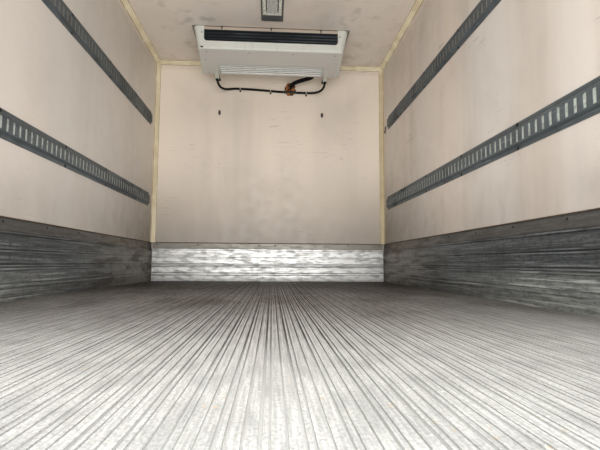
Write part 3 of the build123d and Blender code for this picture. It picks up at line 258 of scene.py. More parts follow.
@dataclass
class PanelFinish(Finish):
    """Glass-fibre panel skin, streaked and scuffed inside and cleaner outside."""

    cool: Triple = (206, 202, 196)
    # Grey for the soft random bands and rain streaks, and for painted shade.
    grey_and_shade: Triple = (168, 158, 147)
    grime: Triple = (112, 104, 96)
    stain: Triple = (206, 178, 138)
    outside: Triple = (206, 204, 197)
    ceiling_light: Triple = (240, 228, 214)
    lit: Triple = (255, 242, 226)
    rim_light: float = 0.20
    tilt: float = 0.45
    wear_and_shade: float = 1.0
    # Share of the painted shade low on the walls, deeper into the box.
    inward: float = 0.88

    def draw(self) -> None:
        """Draw the inner faces, then the outer ones, and part them by place."""
        self.draw_inside()
        inside = self.tint
        self.draw_outside()
        outer = self.maths("MAXIMUM", self.ramp(self.off_middle, 1.19, 1.20), self.ramp(self.z, 2.55, 2.56),
                           self.ramp(self.y, 2.29, 2.30))
        self.tint = self.blend(outer, inside, self.tint)
        ripple = self.noise(3.2, 3.0, (1.0, 1.0, 0.35))
        weave = self.noise(210.0, 2.0)
        self.bump(self.maths("ADD", ripple, self.times(weave, 0.05)), 0.006, 0.35)
        self.shine(self.cloud(11.0, 4.0, 0.3, 0.7, low=self.roughness - 0.07, high=self.roughness + 0.12))

    def draw_inside(self) -> None:
        """Warm cream with soft grey bands, scuffs, specks and stains, with painted shade deeper in and at the
        top of the walls, darker towards the kick plates, and painted light on the ceiling and the far end.
        """
        walls = self.ramp(self.z, 2.45, 2.40)
        ceiling = self.ramp(self.z, 2.47, 2.49)
        self.lay(self.cool, self.cloud(1.5, 3.0, 0.34, 0.70, (1.0, 1.0, 0.10)), 0.75)
        ribs = self.cloud(4.0, 4.0, 0.44, 0.74, (1.0, 1.0, 0.06), (1.0, 6.0, 2.0))
        self.lay(self.grey_and_shade, ribs, walls, 0.42 * self.wear_and_shade)
        dulled = self.cloud(2.6, 6.0, 0.48, 0.78, (1.0, 1.0, 0.7), (4.0, 3.0, 7.0))
        self.lay(self.grey_and_shade, dulled, 0.34 * self.wear_and_shade)
        splash = self.cloud(9.0, 6.0, 0.42, 0.74, (1.0, 1.0, 0.6), (7.0, 2.0, 1.0))
        self.lay(self.grime, self.ramp(self.z, KICK_TOP + 0.40, KICK_TOP - 0.05), splash, 0.30 * self.wear_and_shade)
        soot = self.cloud(9.0, 5.0, 0.50, 0.70, EVEN, (2.0, 2.0, 2.0))
        self.lay(self.grime, self.ramp(self.y, 0.6, 1.3), ceiling, soot,
                 self.ramp(self.off_middle, 0.35, 0.60), 0.50)
        self.mark()
        seep = self.cloud(2.2, 4.0, 0.62, 0.74, (1.0, 1.0, 0.4), (2.0, 8.0, 3.0))
        self.lay(self.stain, seep, 0.20 * self.wear_and_shade)
        self.lay(self.cool, self.ramp(self.x, -1.0, -1.14), walls, 0.55)
        # Painted light on the ceiling, stronger towards the walls.
        self.lay(self.ceiling_light, ceiling, self.ramp(self.off_middle, 0.3, 1.1), 0.60)
        # Painted shade towards the top of the walls.
        self.lay(self.grey_and_shade, self.ramp(self.z, 1.7, 2.4), walls, 0.25 * self.wear_and_shade)
        # Darker towards the kick plates.
        self.lay(self.grey_and_shade, self.ramp(self.z, KICK_TOP + 0.60, KICK_TOP), 0.30 * self.wear_and_shade)
        # Painted shade on the lower walls, growing deeper into the box.
        self.lay(toned(self.grey_and_shade, 0.86), self.ramp(self.y, 0.0, 2.2),
                 self.ramp(self.z, KICK_TOP + 0.95, KICK_TOP), self.inward)
        # Painted light on the far end of the side walls, and on the bulkhead's sides and top.
        rim = self.maths("MAXIMUM", self.ramp(self.off_middle, 0.70, 1.10), self.ramp(self.z, 2.0, 2.4))
        self.lay(self.lit, rim, walls, self.ramp(self.y, 1.5, 2.2), self.ramp(self.z, 0.9, 1.6), self.rim_light)
        # Darker in uneven patches just above the kick plates.
        uneven = self.cloud(5.0, 5.0, 0.30, 0.65, (1.0, 1.0, 0.5), (6.0, 6.0, 3.0), 0.55)
        self.lay(self.grime, self.ramp(self.z, KICK_TOP + 0.30, KICK_TOP), uneven, 0.34 * self.wear_and_shade)

    def mark(self) -> None:
        """Add short scratches, scuffs and dark specks."""
        sparse = self.cloud(1.9, 2.0, 0.46, 0.60, EVEN, (9.0, 4.0, 2.0))
        for turn, offset, scale, share in ((self.tilt, 0.3, 6.0, 0.40), (-0.25, 3.7, 13.0, 0.45),
                                           (1.45, 6.1, 9.0, 0.35)):
            strokes = self.noise(scale, 3.0, (0.7, 0.7, 110.0 / scale), (offset,) * 3, turn=(turn, turn, 0.0))
            self.lay(self.grime, self.ramp(strokes, 0.675, 0.715), sparse, share)
        near = self.cloud(4.0, 2.0, 0.44, 0.60, EVEN, (5.0, 5.0, 1.0))
        specks = self.maths("MAXIMUM", self.spots(38.0, 0.085), self.spots(85.0, 0.10, (2.0, 1.0, 4.0)))
        self.lay(self.grime, specks, near, 0.75)

    def draw_outside(self) -> None:
        """Pale skin with rain streaks and road dirt low down."""
        self.tint = self.outside
        self.lay(self.grey_and_shade, self.cloud(6.0, 4.0, 0.50, 0.80, (1.0, 1.0, 0.03), (5.0, 5.0, 5.0)), 0.22)
        self.lay(self.grime, self.ramp(self.z, 0.75, 0.19), self.cloud(9.0, 5.0, 0.35, 0.70), 0.40)


@dataclass
class MetalFinish(Finish):
    """Drawn or brushed metal with streaks, scratches and grime."""

    metallic: float = 0.8
    dark: Triple = (60, 60, 58)
    grime: Triple = (84, 76, 66)
    run: Axis = Axis.Y
    streaks: float = 0.5
    scratches: float = 0.4
    soil: float = 0.3

    def draw(self) -> None:
        """Draw streaks, smears and bright scores along the metal's run."""
        drawn = self.cloud(42.0, 5.0, 0.34, 0.68, self.run.value)
        self.lay(self.dark, drawn, self.streaks)
        smears = self.cloud(4.2, 5.0, 0.45, 0.72, EVEN, (2.0, 7.0, 4.0), warp=0.8)
        self.lay(self.grime, smears, self.soil)
        scored = self.cloud(160.0, 2.0, 0.63, 0.70, self.run.value, (4.0, 1.0, 6.0))
        self.lay(toned(self.colour, 1.35, 18.0), scored, self.scratches)
        self.bump(self.maths("SUBTRACT", drawn, scored), 0.0006, 0.5)
        dulled = min(0.9, self.roughness + 0.22)
        self.shine(self.ramp(smears, 0.0, 1.0, self.roughness, dulled), self.metallic)


@dataclass
class KickFinish(MetalFinish):
    """Scraped aluminium kick plate, dull on its top flange, with scuffs and painted floor light at its near
    foot, and painted shade in its creases, along its foot and at its far end.
    """

    flange: Triple = (104, 92, 78)
    pale: Triple = (134, 137, 136)
    brown: Triple = (136, 125, 108)
    # Pale laid on the near foot: painted floor light, with scuffs.
    scuffed: Triple = (150, 154, 151)
    fine_scratch: Triple = (186, 190, 188)
    deep_scratch: Triple = (214, 217, 215)
    dents: float = 0.3
    dull: float = 0.55
    browned: float = 0.55
    smear: float = 9.0
    grain: float = 100.0
    # Share of the painted shade at the far end.
    corner: float = 0.65
    near_foot_light: float = 0.85
    crease: float = 0.0018
    creases: Row = (0.0735, 0.141, 0.206, 0.2195, 0.234, 0.2935, 0.3145)
    crests: Row = (0.064, 0.134, 0.148, 0.196, 0.213, 0.226, 0.303)

    def draw(self) -> None:
        """Draw the scraped face, the creases, the flange, and what changes along the plate, with painted
        shade and painted floor light among it.
        """
        along = self.run.value
        drift = tuple(max(0.35, part) for part in along)
        bright = toned(self.colour, 1.30, 26.0)
        drawn = self.cloud(30.0, 6.0, 0.36, 0.64, along)
        self.lay(self.dark, drawn, self.streaks)
        smears = self.cloud(self.smear, 8.0, 0.44, 0.62, (*drift[:2], 2.2), (2.0, 7.0, 4.0))
        self.lay(self.grime, smears, self.soil)
        fine = self.cloud(260.0, 4.0, 0.50, 0.64, along, (2.0, 2.0, 5.0))
        self.lay(self.pale, fine, 0.7 * self.scratches)
        rubbed = self.cloud(90.0, 5.0, 0.58, 0.66, along, (4.0, 1.0, 6.0))
        self.lay(bright, rubbed, self.scratches)
        nicks = self.cloud(46.0, 4.0, 0.62, 0.70, Axis.Z.value, (1.0, 3.0, 2.0))
        self.lay(self.dark, nicks, 0.6 * self.scratches)
        grit = self.cloud(self.grain, 7.0, 0.46, 0.66, drift, (3.0, 3.0, 3.0))
        self.lay(self.dark, grit, 0.55)
        # Painted shade along the foot, away from the doorway.
        self.lay(self.dark, self.ramp(self.z, Z_FLOOR + 0.055, Z_FLOOR), self.ramp(self.y, -1.7, -0.2), 0.55)
        self.draw_creases(bright)
        self.draw_flange(smears)
        film = self.cloud(24.0, 6.0, 0.30, 0.62, (1.0, 0.6, 1.6), low=0.3)
        self.lay(self.brown, self.ramp(self.y, 0.3, 2.1), film, self.browned)
        # Near foot: painted floor light, with scuffs, grit and scratches over it.
        worn = self.times(self.ramp(self.z, Z_FLOOR + 0.20, Z_FLOOR + 0.07), self.ramp(self.y, 1.0, -0.7),
                          self.ramp(film, 0.3, 1.0, 0.55))
        for layer, *shares in ((self.scuffed, self.near_foot_light), (self.dark, grit, 0.50),
                               (self.fine_scratch, fine, 0.55), (self.deep_scratch, rubbed, 0.80)):
            self.lay(layer, worn, *shares)
        # Painted shade at the far end, by the corner with the bulkhead.
        self.lay(toned(self.dark, 0.6), self.ramp(self.y, 2.02, 2.23), self.corner)
        beaten = self.noise(14.0, 5.0, (1.0, 1.0, 2.2), (6.0, 1.0, 1.0))
        self.bump(self.maths("ADD", self.times(beaten, self.dents), self.times(drawn, 0.08)), 0.006, 0.6)
        dulled = min(0.9, self.roughness + 0.2)
        self.shine(self.ramp(smears, 0.0, 1.0, self.roughness, dulled), self.metallic)

    def draw_creases(self, bright: Triple) -> None:
        """Paint highlights, with some rubbed wear, on the ribs' crests, and paint shade, with some grime,
        into the creases between them.

        Args:
            bright: Colour of the bare metal, also the crests' painted highlight.
        """
        uneven = self.cloud(6.0, 4.0, 0.25, 0.60, EVEN, (8.0, 8.0, 2.0), 0.55)
        worn = self.cloud(4.0, 4.0, 0.40, 0.65, EVEN, (1.0, 8.0, 2.0))
        # Painted highlights on the crests, with rubbed wear.
        for drop in self.crests:
            self.lay(bright, self.band(self.z, KICK_TOP - drop, 0.0020, 0.0022), worn, 0.45)
        # Painted shade in the creases, with some grime.
        for drop in self.creases:
            crease = self.band(self.z, KICK_TOP - drop, self.crease, 0.0026)
            self.lay(toned(self.dark, 0.35), crease, uneven, 0.70 if drop > 0.18 else 0.45)

    def draw_flange(self, smears: Socket) -> None:
        """Dull the top flange and paint shade along its two edges.

        Args:
            smears: Where the plate is smeared.
        """
        dull = self.blend(self.times(smears, 0.5), self.flange, self.grime)
        self.lay(dull, self.ramp(self.z, KICK_TOP - 0.062, KICK_TOP - 0.058), self.dull)
        # Painted shade along the flange's top and bottom edges.
        edge = self.maths("MAXIMUM", self.ramp(self.z, KICK_TOP - 0.010, KICK_TOP - 0.006),
                          self.band(self.z, KICK_TOP - 0.0595, 0.0015, 0.003))
        self.lay(toned(self.dark, 0.6), edge, 0.55)


@dataclass
class TreadFinish(Finish):
    """Ribbed aluminium floor: scuffed pale by the doorway, darker and browner towards the front, by dirt and
    painted shade.
    """

    worn: Triple = (198, 199, 196)
    scuff: Triple = (128, 129, 127)
    # Darker tones laid deeper into the box: dirt and painted shade.
    track: Triple = (96, 95, 92)
    soil: Triple = (62, 56, 50)
    # Pale painted into the grooves by the doorway: painted light.
    groove: Triple = (204, 205, 202)
    litter: Triple = (196, 160, 108)
    fleck: Triple = (226, 224, 214)
    pitch: float = 0.046
    first_groove: float = 0.0115
    crests: Row = (0.15, 0.36, 0.58, 0.84)

    def draw(self) -> None:
        """Draw the scuffs, the dirt and painted shade that grow inwards, the litter, the lines, painted shade
        at the far end, and darker sides.
        """
        grain = self.cloud(230.0, 4.0, 0.34, 0.66, (1.0, 0.035, 1.0))
        self.lay(self.worn, grain)
        speckle = self.cloud(210.0, 5.0, 0.46, 0.60, (1.0, 0.7, 1.0), (1.0, 5.0, 0.0))
        self.lay(self.scuff, speckle, 0.40)
        self.lay(self.scuff, self.cloud(16.0, 8.0, 0.42, 0.66, (1.0, 0.6, 1.0), (8.0, 1.0, 0.0)), 0.35)
        patches = self.cloud(2.6, 7.0, 0.40, 0.66, (1.0, 0.6, 1.0), (4.0, 2.0, 0.0), warp=0.4)
        # Dirt and painted shade, growing from the doorway inwards.
        inward = self.ramp(self.y, -1.80, 0.0)
        self.lay(self.blend(inward, self.track, self.soil), inward, self.ramp(patches, 0.0, 1.0, 0.72, 0.95))
        self.scatter_litter(patches)
        self.draw_lines()
        # Dirt and painted shade over the far part of the floor.
        self.lay(toned(self.soil, 0.40), self.ramp(self.y, 0.0, 1.7), 0.93)
        # Painted shade at the bulkhead's foot.
        self.lay(toned(self.soil, 0.25), self.ramp(self.y, 2.0, 2.22), 0.7)
        # Darker along the walls.
        self.lay(self.soil, self.ramp(self.off_middle, 0.90, 1.12), 0.28)
        self.bump(self.maths("ADD", self.times(grain, 0.5), speckle), 0.0006, 0.5)
        self.shine(self.ramp(grain, 0.0, 1.0, self.roughness + 0.18, self.roughness), 0.1,
                   Specular_IOR_Level=0.25)

    def scatter_litter(self, patches: Socket) -> None:
        """Scatter crumbs, and pale flecks where the floor is dirtier."""
        self.lay(self.litter, self.spots(30.0, 0.12), self.cloud(3.0, 2.0, 0.50, 0.62), 0.6)
        self.lay(self.fleck, self.spots(32.0, 0.11, (3.0, 2.0, 0.0)), self.ramp(patches, 0.1, 0.5), 0.7)

    def draw_lines(self) -> None:
        """Run dark tracks and pale worn lines along the ribs, darken the middle of the floor with dirt and
        painted shade, and paint light into the grooves by the doorway.
        """
        shown = self.times(self.ramp(self.y, -1.70, -1.00),
                           self.cloud(9.0, 5.0, 0.32, 0.60, (1.0, 0.15, 1.0), (7.0, 7.0, 0.0), 0.25))
        # Dirt and painted shade from the doorway inwards.
        self.lay(toned(self.soil, 0.5), self.ramp(self.y, -1.45, -0.60), 0.26)
        deep = self.ramp(self.z, Z_FLOOR - 0.0004, Z_FLOOR - 0.0022)
        self.lay(toned(self.soil, 0.4), deep, shown, 0.80)
        start = self.maths("ADD", self.x, HALF_IN - self.first_groove)
        across = self.maths("FRACT", self.times(start, 1.0 / self.pitch))
        for crest in self.crests:
            self.lay(self.worn, self.band(across, crest, 0.020, 0.030), shown, 0.36)
        # Painted light in the grooves near the doorway, in patches.
        groove_light_patches = self.cloud(16.0, 5.0, 0.30, 0.70, (1.0, 0.12, 1.0), (6.0, 1.0, 0.0), 0.65)
        groove_light_share = self.times(groove_light_patches, self.ramp(self.y, -1.75, -0.90, 1.0, 0.0))
        self.lay(self.groove, deep, groove_light_share)


@dataclass
class MouldedFinish(Finish):
    """Moulded plastic, dusty on top and a little yellowed."""

    aged: Triple = (196, 194, 180)
    dust: Triple = (150, 142, 130)

    def draw(self) -> None:
        """Draw the ageing, the dust and the tints of single faces."""
        self.lay(self.aged, self.cloud(3.0, 4.0, 0.35, 0.70), 0.6)
        film = self.cloud(14.0, 5.0, 0.52, 0.80, (1.0, 1.0, 0.4), (3.0, 3.0, 1.0))
        self.lay(self.dust, film, 0.35)
        self.lay(self.dust, self.spots(90.0, 0.12), self.cloud(6.0, 2.0, 0.5, 0.62), 0.5)
        self.tint_faces()
        self.bump(self.noise(420.0, 2.0), 0.0004, 0.15)
        self.shine(self.ramp(film, 0.0, 1.0, self.roughness, self.roughness + 0.2))

    def tint_faces(self) -> None:
        """Leave all faces alike."""


@dataclass
class CoverFinish(MouldedFinish):
    """Moulded cover whose downward faces are greyer with painted shade, and whose strip over the outlet is
    dull.
    """

    # Grey of the painted shade on downward faces.
    under: Triple = (216, 213, 206)
    strip: Triple = (186, 172, 157)
    middle: float = 0.575
    strip_z: float = 2.4725

    def tint_faces(self) -> None:
        """Paint shade on the underside between the end caps and dull the strip under the ceiling."""
        # Painted shade on the downward faces, weaker under the end caps.
        self.lay(self.under, self.ramp(self.split("Normal")[2], -0.80, -0.92),
                 self.ramp(self.off_middle, self.middle + 0.065, self.middle, 0.35))
        self.lay(self.strip, self.ramp(self.z, self.strip_z, self.strip_z + 0.001),
                 self.ramp(self.off_middle, self.middle + 0.002, self.middle))


@dataclass
class GrilleFinish(MouldedFinish):
    """Black outlet grille with the worn edges of some slats paler."""

    edge: Triple = (92, 98, 104)
    levels: Row = (2.3933, 2.4195, 2.4458)

    def tint_faces(self) -> None:
        """Pale the edges of the slats at some levels, here more and there less."""
        worn = self.cloud(3.0, 3.0, 0.35, 0.62, (1.0, 1.0, 6.0), low=0.30)
        for level in self.levels:
            self.lay(self.edge, self.band(self.z, level, 0.0022, 0.0016), worn)


@dataclass
class SpeckledFinish(MouldedFinish):
    """Weathered plastic with blotches all over."""

    blotch: Triple = (112, 112, 104)
    size: float = 55.0

    def tint_faces(self) -> None:
        """Add the blotches."""
        self.lay(self.blotch, self.cloud(self.size, 4.0, 0.50, 0.62, EVEN, (5.0, 2.0, 3.0)), 0.65)


@dataclass
class CoveFinish(Finish):
    """Ivory cove strip with a brown seam where it meets the panels."""

    seam: Triple = (132, 98, 62)
    stained: Triple = (196, 178, 136)

    def draw(self) -> None:
        """Draw the stains, the seams along both edges and the faint line between them."""
        self.lay(self.stained, self.cloud(6.0, 5.0, 0.40, 0.72, (1.0, 1.0, 0.6)), 0.55)
        self.lay(self.stained, self.ramp(self.x, 1.06, 1.10), self.ramp(self.z, 2.46, 2.40), 0.55)
        nearest = self.maths("MINIMUM", self.maths("SUBTRACT", HALF_IN, self.off_middle),
                             self.maths("SUBTRACT", Y_BULKHEAD, self.y),
                             self.maths("SUBTRACT", Z_CEILING, self.z))
        broken = self.cloud(9.0, 4.0, 0.30, 0.58, EVEN, (1.0, 2.0, 3.0))
        self.lay(self.seam, self.band(nearest, 0.0052, 0.0016, 0.0018),
                 self.ramp(broken, 0.0, 1.0, 0.35, 0.85))
        self.lay(self.seam, self.band(nearest, 0.0170, 0.0014, 0.0016), broken, 0.25)
        self.bump(self.noise(30.0, 3.0), 0.002, 0.3)
        self.shine(self.roughness)


@dataclass
class PaintFinish(Finish):
    """Painted steel with chips at random and road dust."""

    chip: Triple = (98, 72, 54)
    dust: Triple = (120, 112, 100)

    def draw(self) -> None:
        """Draw the dust and the chips."""
        film = self.cloud(6.0, 5.0, 0.42, 0.75)
        self.lay(self.dust, film, 0.45)
        chips = self.cloud(38.0, 4.0, 0.69, 0.72, EVEN, (2.0, 9.0, 4.0))
        self.lay(self.chip, chips)
        self.bump(self.maths("SUBTRACT", self.noise(160.0, 2.0), chips), 0.0006, 0.3)
        self.shine(self.ramp(film, 0.0, 1.0, self.roughness, self.roughness + 0.25))


@dataclass
class RubberFinish(Finish):
    """Matt rubber with pale dust."""

    dust: Triple = (92, 88, 82)

    def draw(self) -> None:
        """Draw the dust."""
        self.lay(self.dust, self.cloud(22.0, 5.0, 0.50, 0.80), 0.5)
        self.bump(self.noise(300.0, 3.0), 0.0005, 0.4)
        self.shine(self.roughness, Specular_IOR_Level=0.25)


@dataclass
class FoamFinish(Finish):
    """Aged spray foam, burnt orange with paler torn cells."""

    torn: Triple = (224, 162, 92)
    burnt: Triple = (66, 40, 26)

    def draw(self) -> None:
        """Draw the cells and the tears."""
        cells = self.cloud(34.0, 4.0, 0.40, 0.60)
        self.tint = self.blend(cells, self.burnt, self.colour)
        self.lay(self.torn, self.cloud(52.0, 3.0, 0.54, 0.62, EVEN, (3.0, 2.0, 1.0)), 0.85)
        self.bump(cells, 0.004, 0.8)
        self.shine(self.roughness)


@dataclass
class LensFinish(Finish):
    """Ribbed lamp lens, dusty, with light scattered in it."""

    dust: Triple = (150, 146, 138)
    grain: Triple = (112, 114, 112)
    ribs: float = 600.0
    mottle: float = 0.0
    rear: Triple | None = None
    front: Triple | None = None

    def draw(self) -> None:
        """Draw the colours of rear and front lamps, the dust and the ribs, a sine of the place."""
        if self.rear and self.front:
            self.tint = self.blend(self.ramp(self.y, Y_TAIL + 0.03, Y_TAIL + 0.04), self.rear, self.colour)
            self.lay(self.front, self.ramp(self.y, Y_NOSE - 0.04, Y_NOSE - 0.03))
        self.lay(self.dust, self.cloud(30.0, 4.0, 0.48, 0.80), 0.30)
        self.lay(self.grain, self.cloud(95.0, 3.0, 0.44, 0.58), self.mottle)
        slant = self.maths("ADD", self.x, self.y, self.times(self.z, 0.5))
        self.bump(self.maths("SINE", self.times(slant, self.ribs)), 0.0015, 0.7)
        self.shine(self.roughness, Coat_Weight=0.5, Coat_Roughness=0.12)


@dataclass
class FinFinish(Finish):
    """Finned coil: thin bright fins with painted shade in the gaps between them, crossed by rows of copper
    pipe.
    """

    gap: Triple = (48, 50, 52)
    pipe: Triple = (140, 98, 66)
    pitch: float = 0.004
    row_pitch: float = 0.034

    def draw(self) -> None:
        """Draw the fins, the painted shade between them, and the rows of pipe."""
        fins = self.ramp(self.wave(self.x, self.pitch), -0.3, 0.5)
        # Painted shade in the gaps between the fins.
        self.tint = self.blend(fins, self.gap, self.colour)
        self.lay(self.pipe, self.ramp(self.wave(self.z, self.row_pitch), 0.82, 0.97))
        self.bump(fins, 0.002, 0.8)
        self.shine(self.roughness, 0.5)

    def wave(self, value: Socket, pitch: float) -> Socket:
        """Sine of a coordinate that repeats at a pitch."""
        return self.maths("SINE", self.times(value, 2.0 * math.pi / pitch))


FINISHES: tuple[Finish, ...] = (
    PanelFinish("outer_panel", (220, 207, 195), 0.38),
    # The bulkhead has the walls' panel in a lighter colour, which is painted light, with more painted light
    # at its sides and top, and less painted shade low down.
    PanelFinish("bulkhead_panel", (242, 227, 210), 0.38, cool=(228, 217, 203), tilt=0.0, wear_and_shade=0.55,
                inward=0.52, rim_light=0.60),
    TreadFinish("tread_aluminium", (168, 169, 166), 0.50),
    MetalFinish("stainless", (176, 176, 173), 0.30, 0.9, (130, 130, 128), run=Axis.Z, soil=0.2),
    MetalFinish("capping", (196, 198, 199), 0.36, 0.75, (158, 160, 161), soil=0.2),
    CoveFinish("cove_plastic", (244, 234, 203), 0.48),
    KickFinish("kick_aluminium", (84, 88, 90), 0.46, 0.45, (46, 50, 52), (84, 81, 77), streaks=0.65,
               scratches=0.60, soil=0.35, flange=(98, 93, 87)),
    # The bulkhead's kick plate is the side plates' aluminium painted near-white: a painted reflection of the
    # daylight.
    KickFinish("bright_kick_aluminium", (255, 255, 252), 0.35, 0.62, (118, 118, 114), (150, 146, 136),
               run=Axis.X, streaks=0.24, scratches=0.40, soil=0.30, flange=(120, 114, 103),
               pale=(234, 233, 228), dents=0.10, dull=0.90, browned=0.0, smear=34.0, grain=30.0, corner=0.0,
               near_foot_light=0.0, crease=0.0036),
    MetalFinish("rail_steel", (96, 104, 108), 0.50, 0.40, (66, 73, 77), (70, 70, 68), streaks=0.55,
                scratches=0.45, soil=0.40),
    PaintFinish("lamp_base", (74, 78, 80), 0.45),
    PaintFinish("grey_paint", (128, 125, 118), 0.45),
    PaintFinish("black_paint", (14, 14, 15), 0.55, (48, 36, 28), (34, 33, 31)),
    SpeckledFinish("lamp_frame", (224, 224, 213), 0.45, aged=(206, 205, 190), dust=(128, 126, 112)),
    LensFinish("lamp_lens", (214, 215, 210), 0.25, mottle=0.6),
    MouldedFinish("white_plastic", (226, 228, 223), 0.40, aged=(214, 215, 207), dust=(186, 182, 172)),
    # The cover's downward faces carry painted shade.
    CoverFinish("cover_plastic", (216, 218, 211), 0.40, aged=(204, 205, 195), dust=(176, 172, 162),
                under=(206, 203, 197)),
    # The louvre is the cover's white plastic painted brighter, a painted highlight on its lips, with painted
    # shade on its downward faces.
    CoverFinish("louvre_plastic", (255, 255, 252), 0.40, aged=(252, 254, 246), under=(186, 187, 182)),
    MouldedFinish("aged_plastic", (192, 194, 182), 0.45, aged=(182, 182, 168), dust=(150, 146, 134)),
    SpeckledFinish("dull_plastic", (184, 189, 181), 0.5, aged=(170, 175, 168), dust=(120, 122, 118),
                   blotch=(120, 126, 126), size=40.0),
    GrilleFinish("grille_plastic", (28, 32, 35), 0.45, aged=(36, 40, 43), dust=(62, 64, 66)),
    MouldedFinish("black_plastic", (30, 32, 34), 0.50, (40, 42, 44), (78, 76, 72)),
    FinFinish("fin_aluminium", (170, 174, 176), 0.40),
    PaintFinish("dark_metal", (42, 42, 43), 0.50),
    RubberFinish("black_rubber", (14, 14, 15), 0.60, (50, 48, 45)),
    RubberFinish("hose_rubber", (10, 10, 10), 0.70, (26, 25, 24)),
    FoamFinish("foam", (158, 94, 50), 0.85),
    PaintFinish("frame_steel", (52, 55, 58), 0.45),
    RubberFinish("old_sealant", (66, 55, 42), 0.7, (104, 92, 74)),
    MetalFinish("bare_screw", (168, 168, 164), 0.35, 0.85, soil=0.3),
    MetalFinish("zinc", (222, 214, 200), 0.50, 0.25, (176, 168, 154), soil=0.2),
    PaintFinish("rusty_steel", (74, 48, 36), 0.7, (120, 66, 36), (92, 70, 56)),
    LensFinish("lamp_red_amber", (214, 112, 24), 0.22, rear=(168, 22, 18), front=(214, 214, 206)),
)


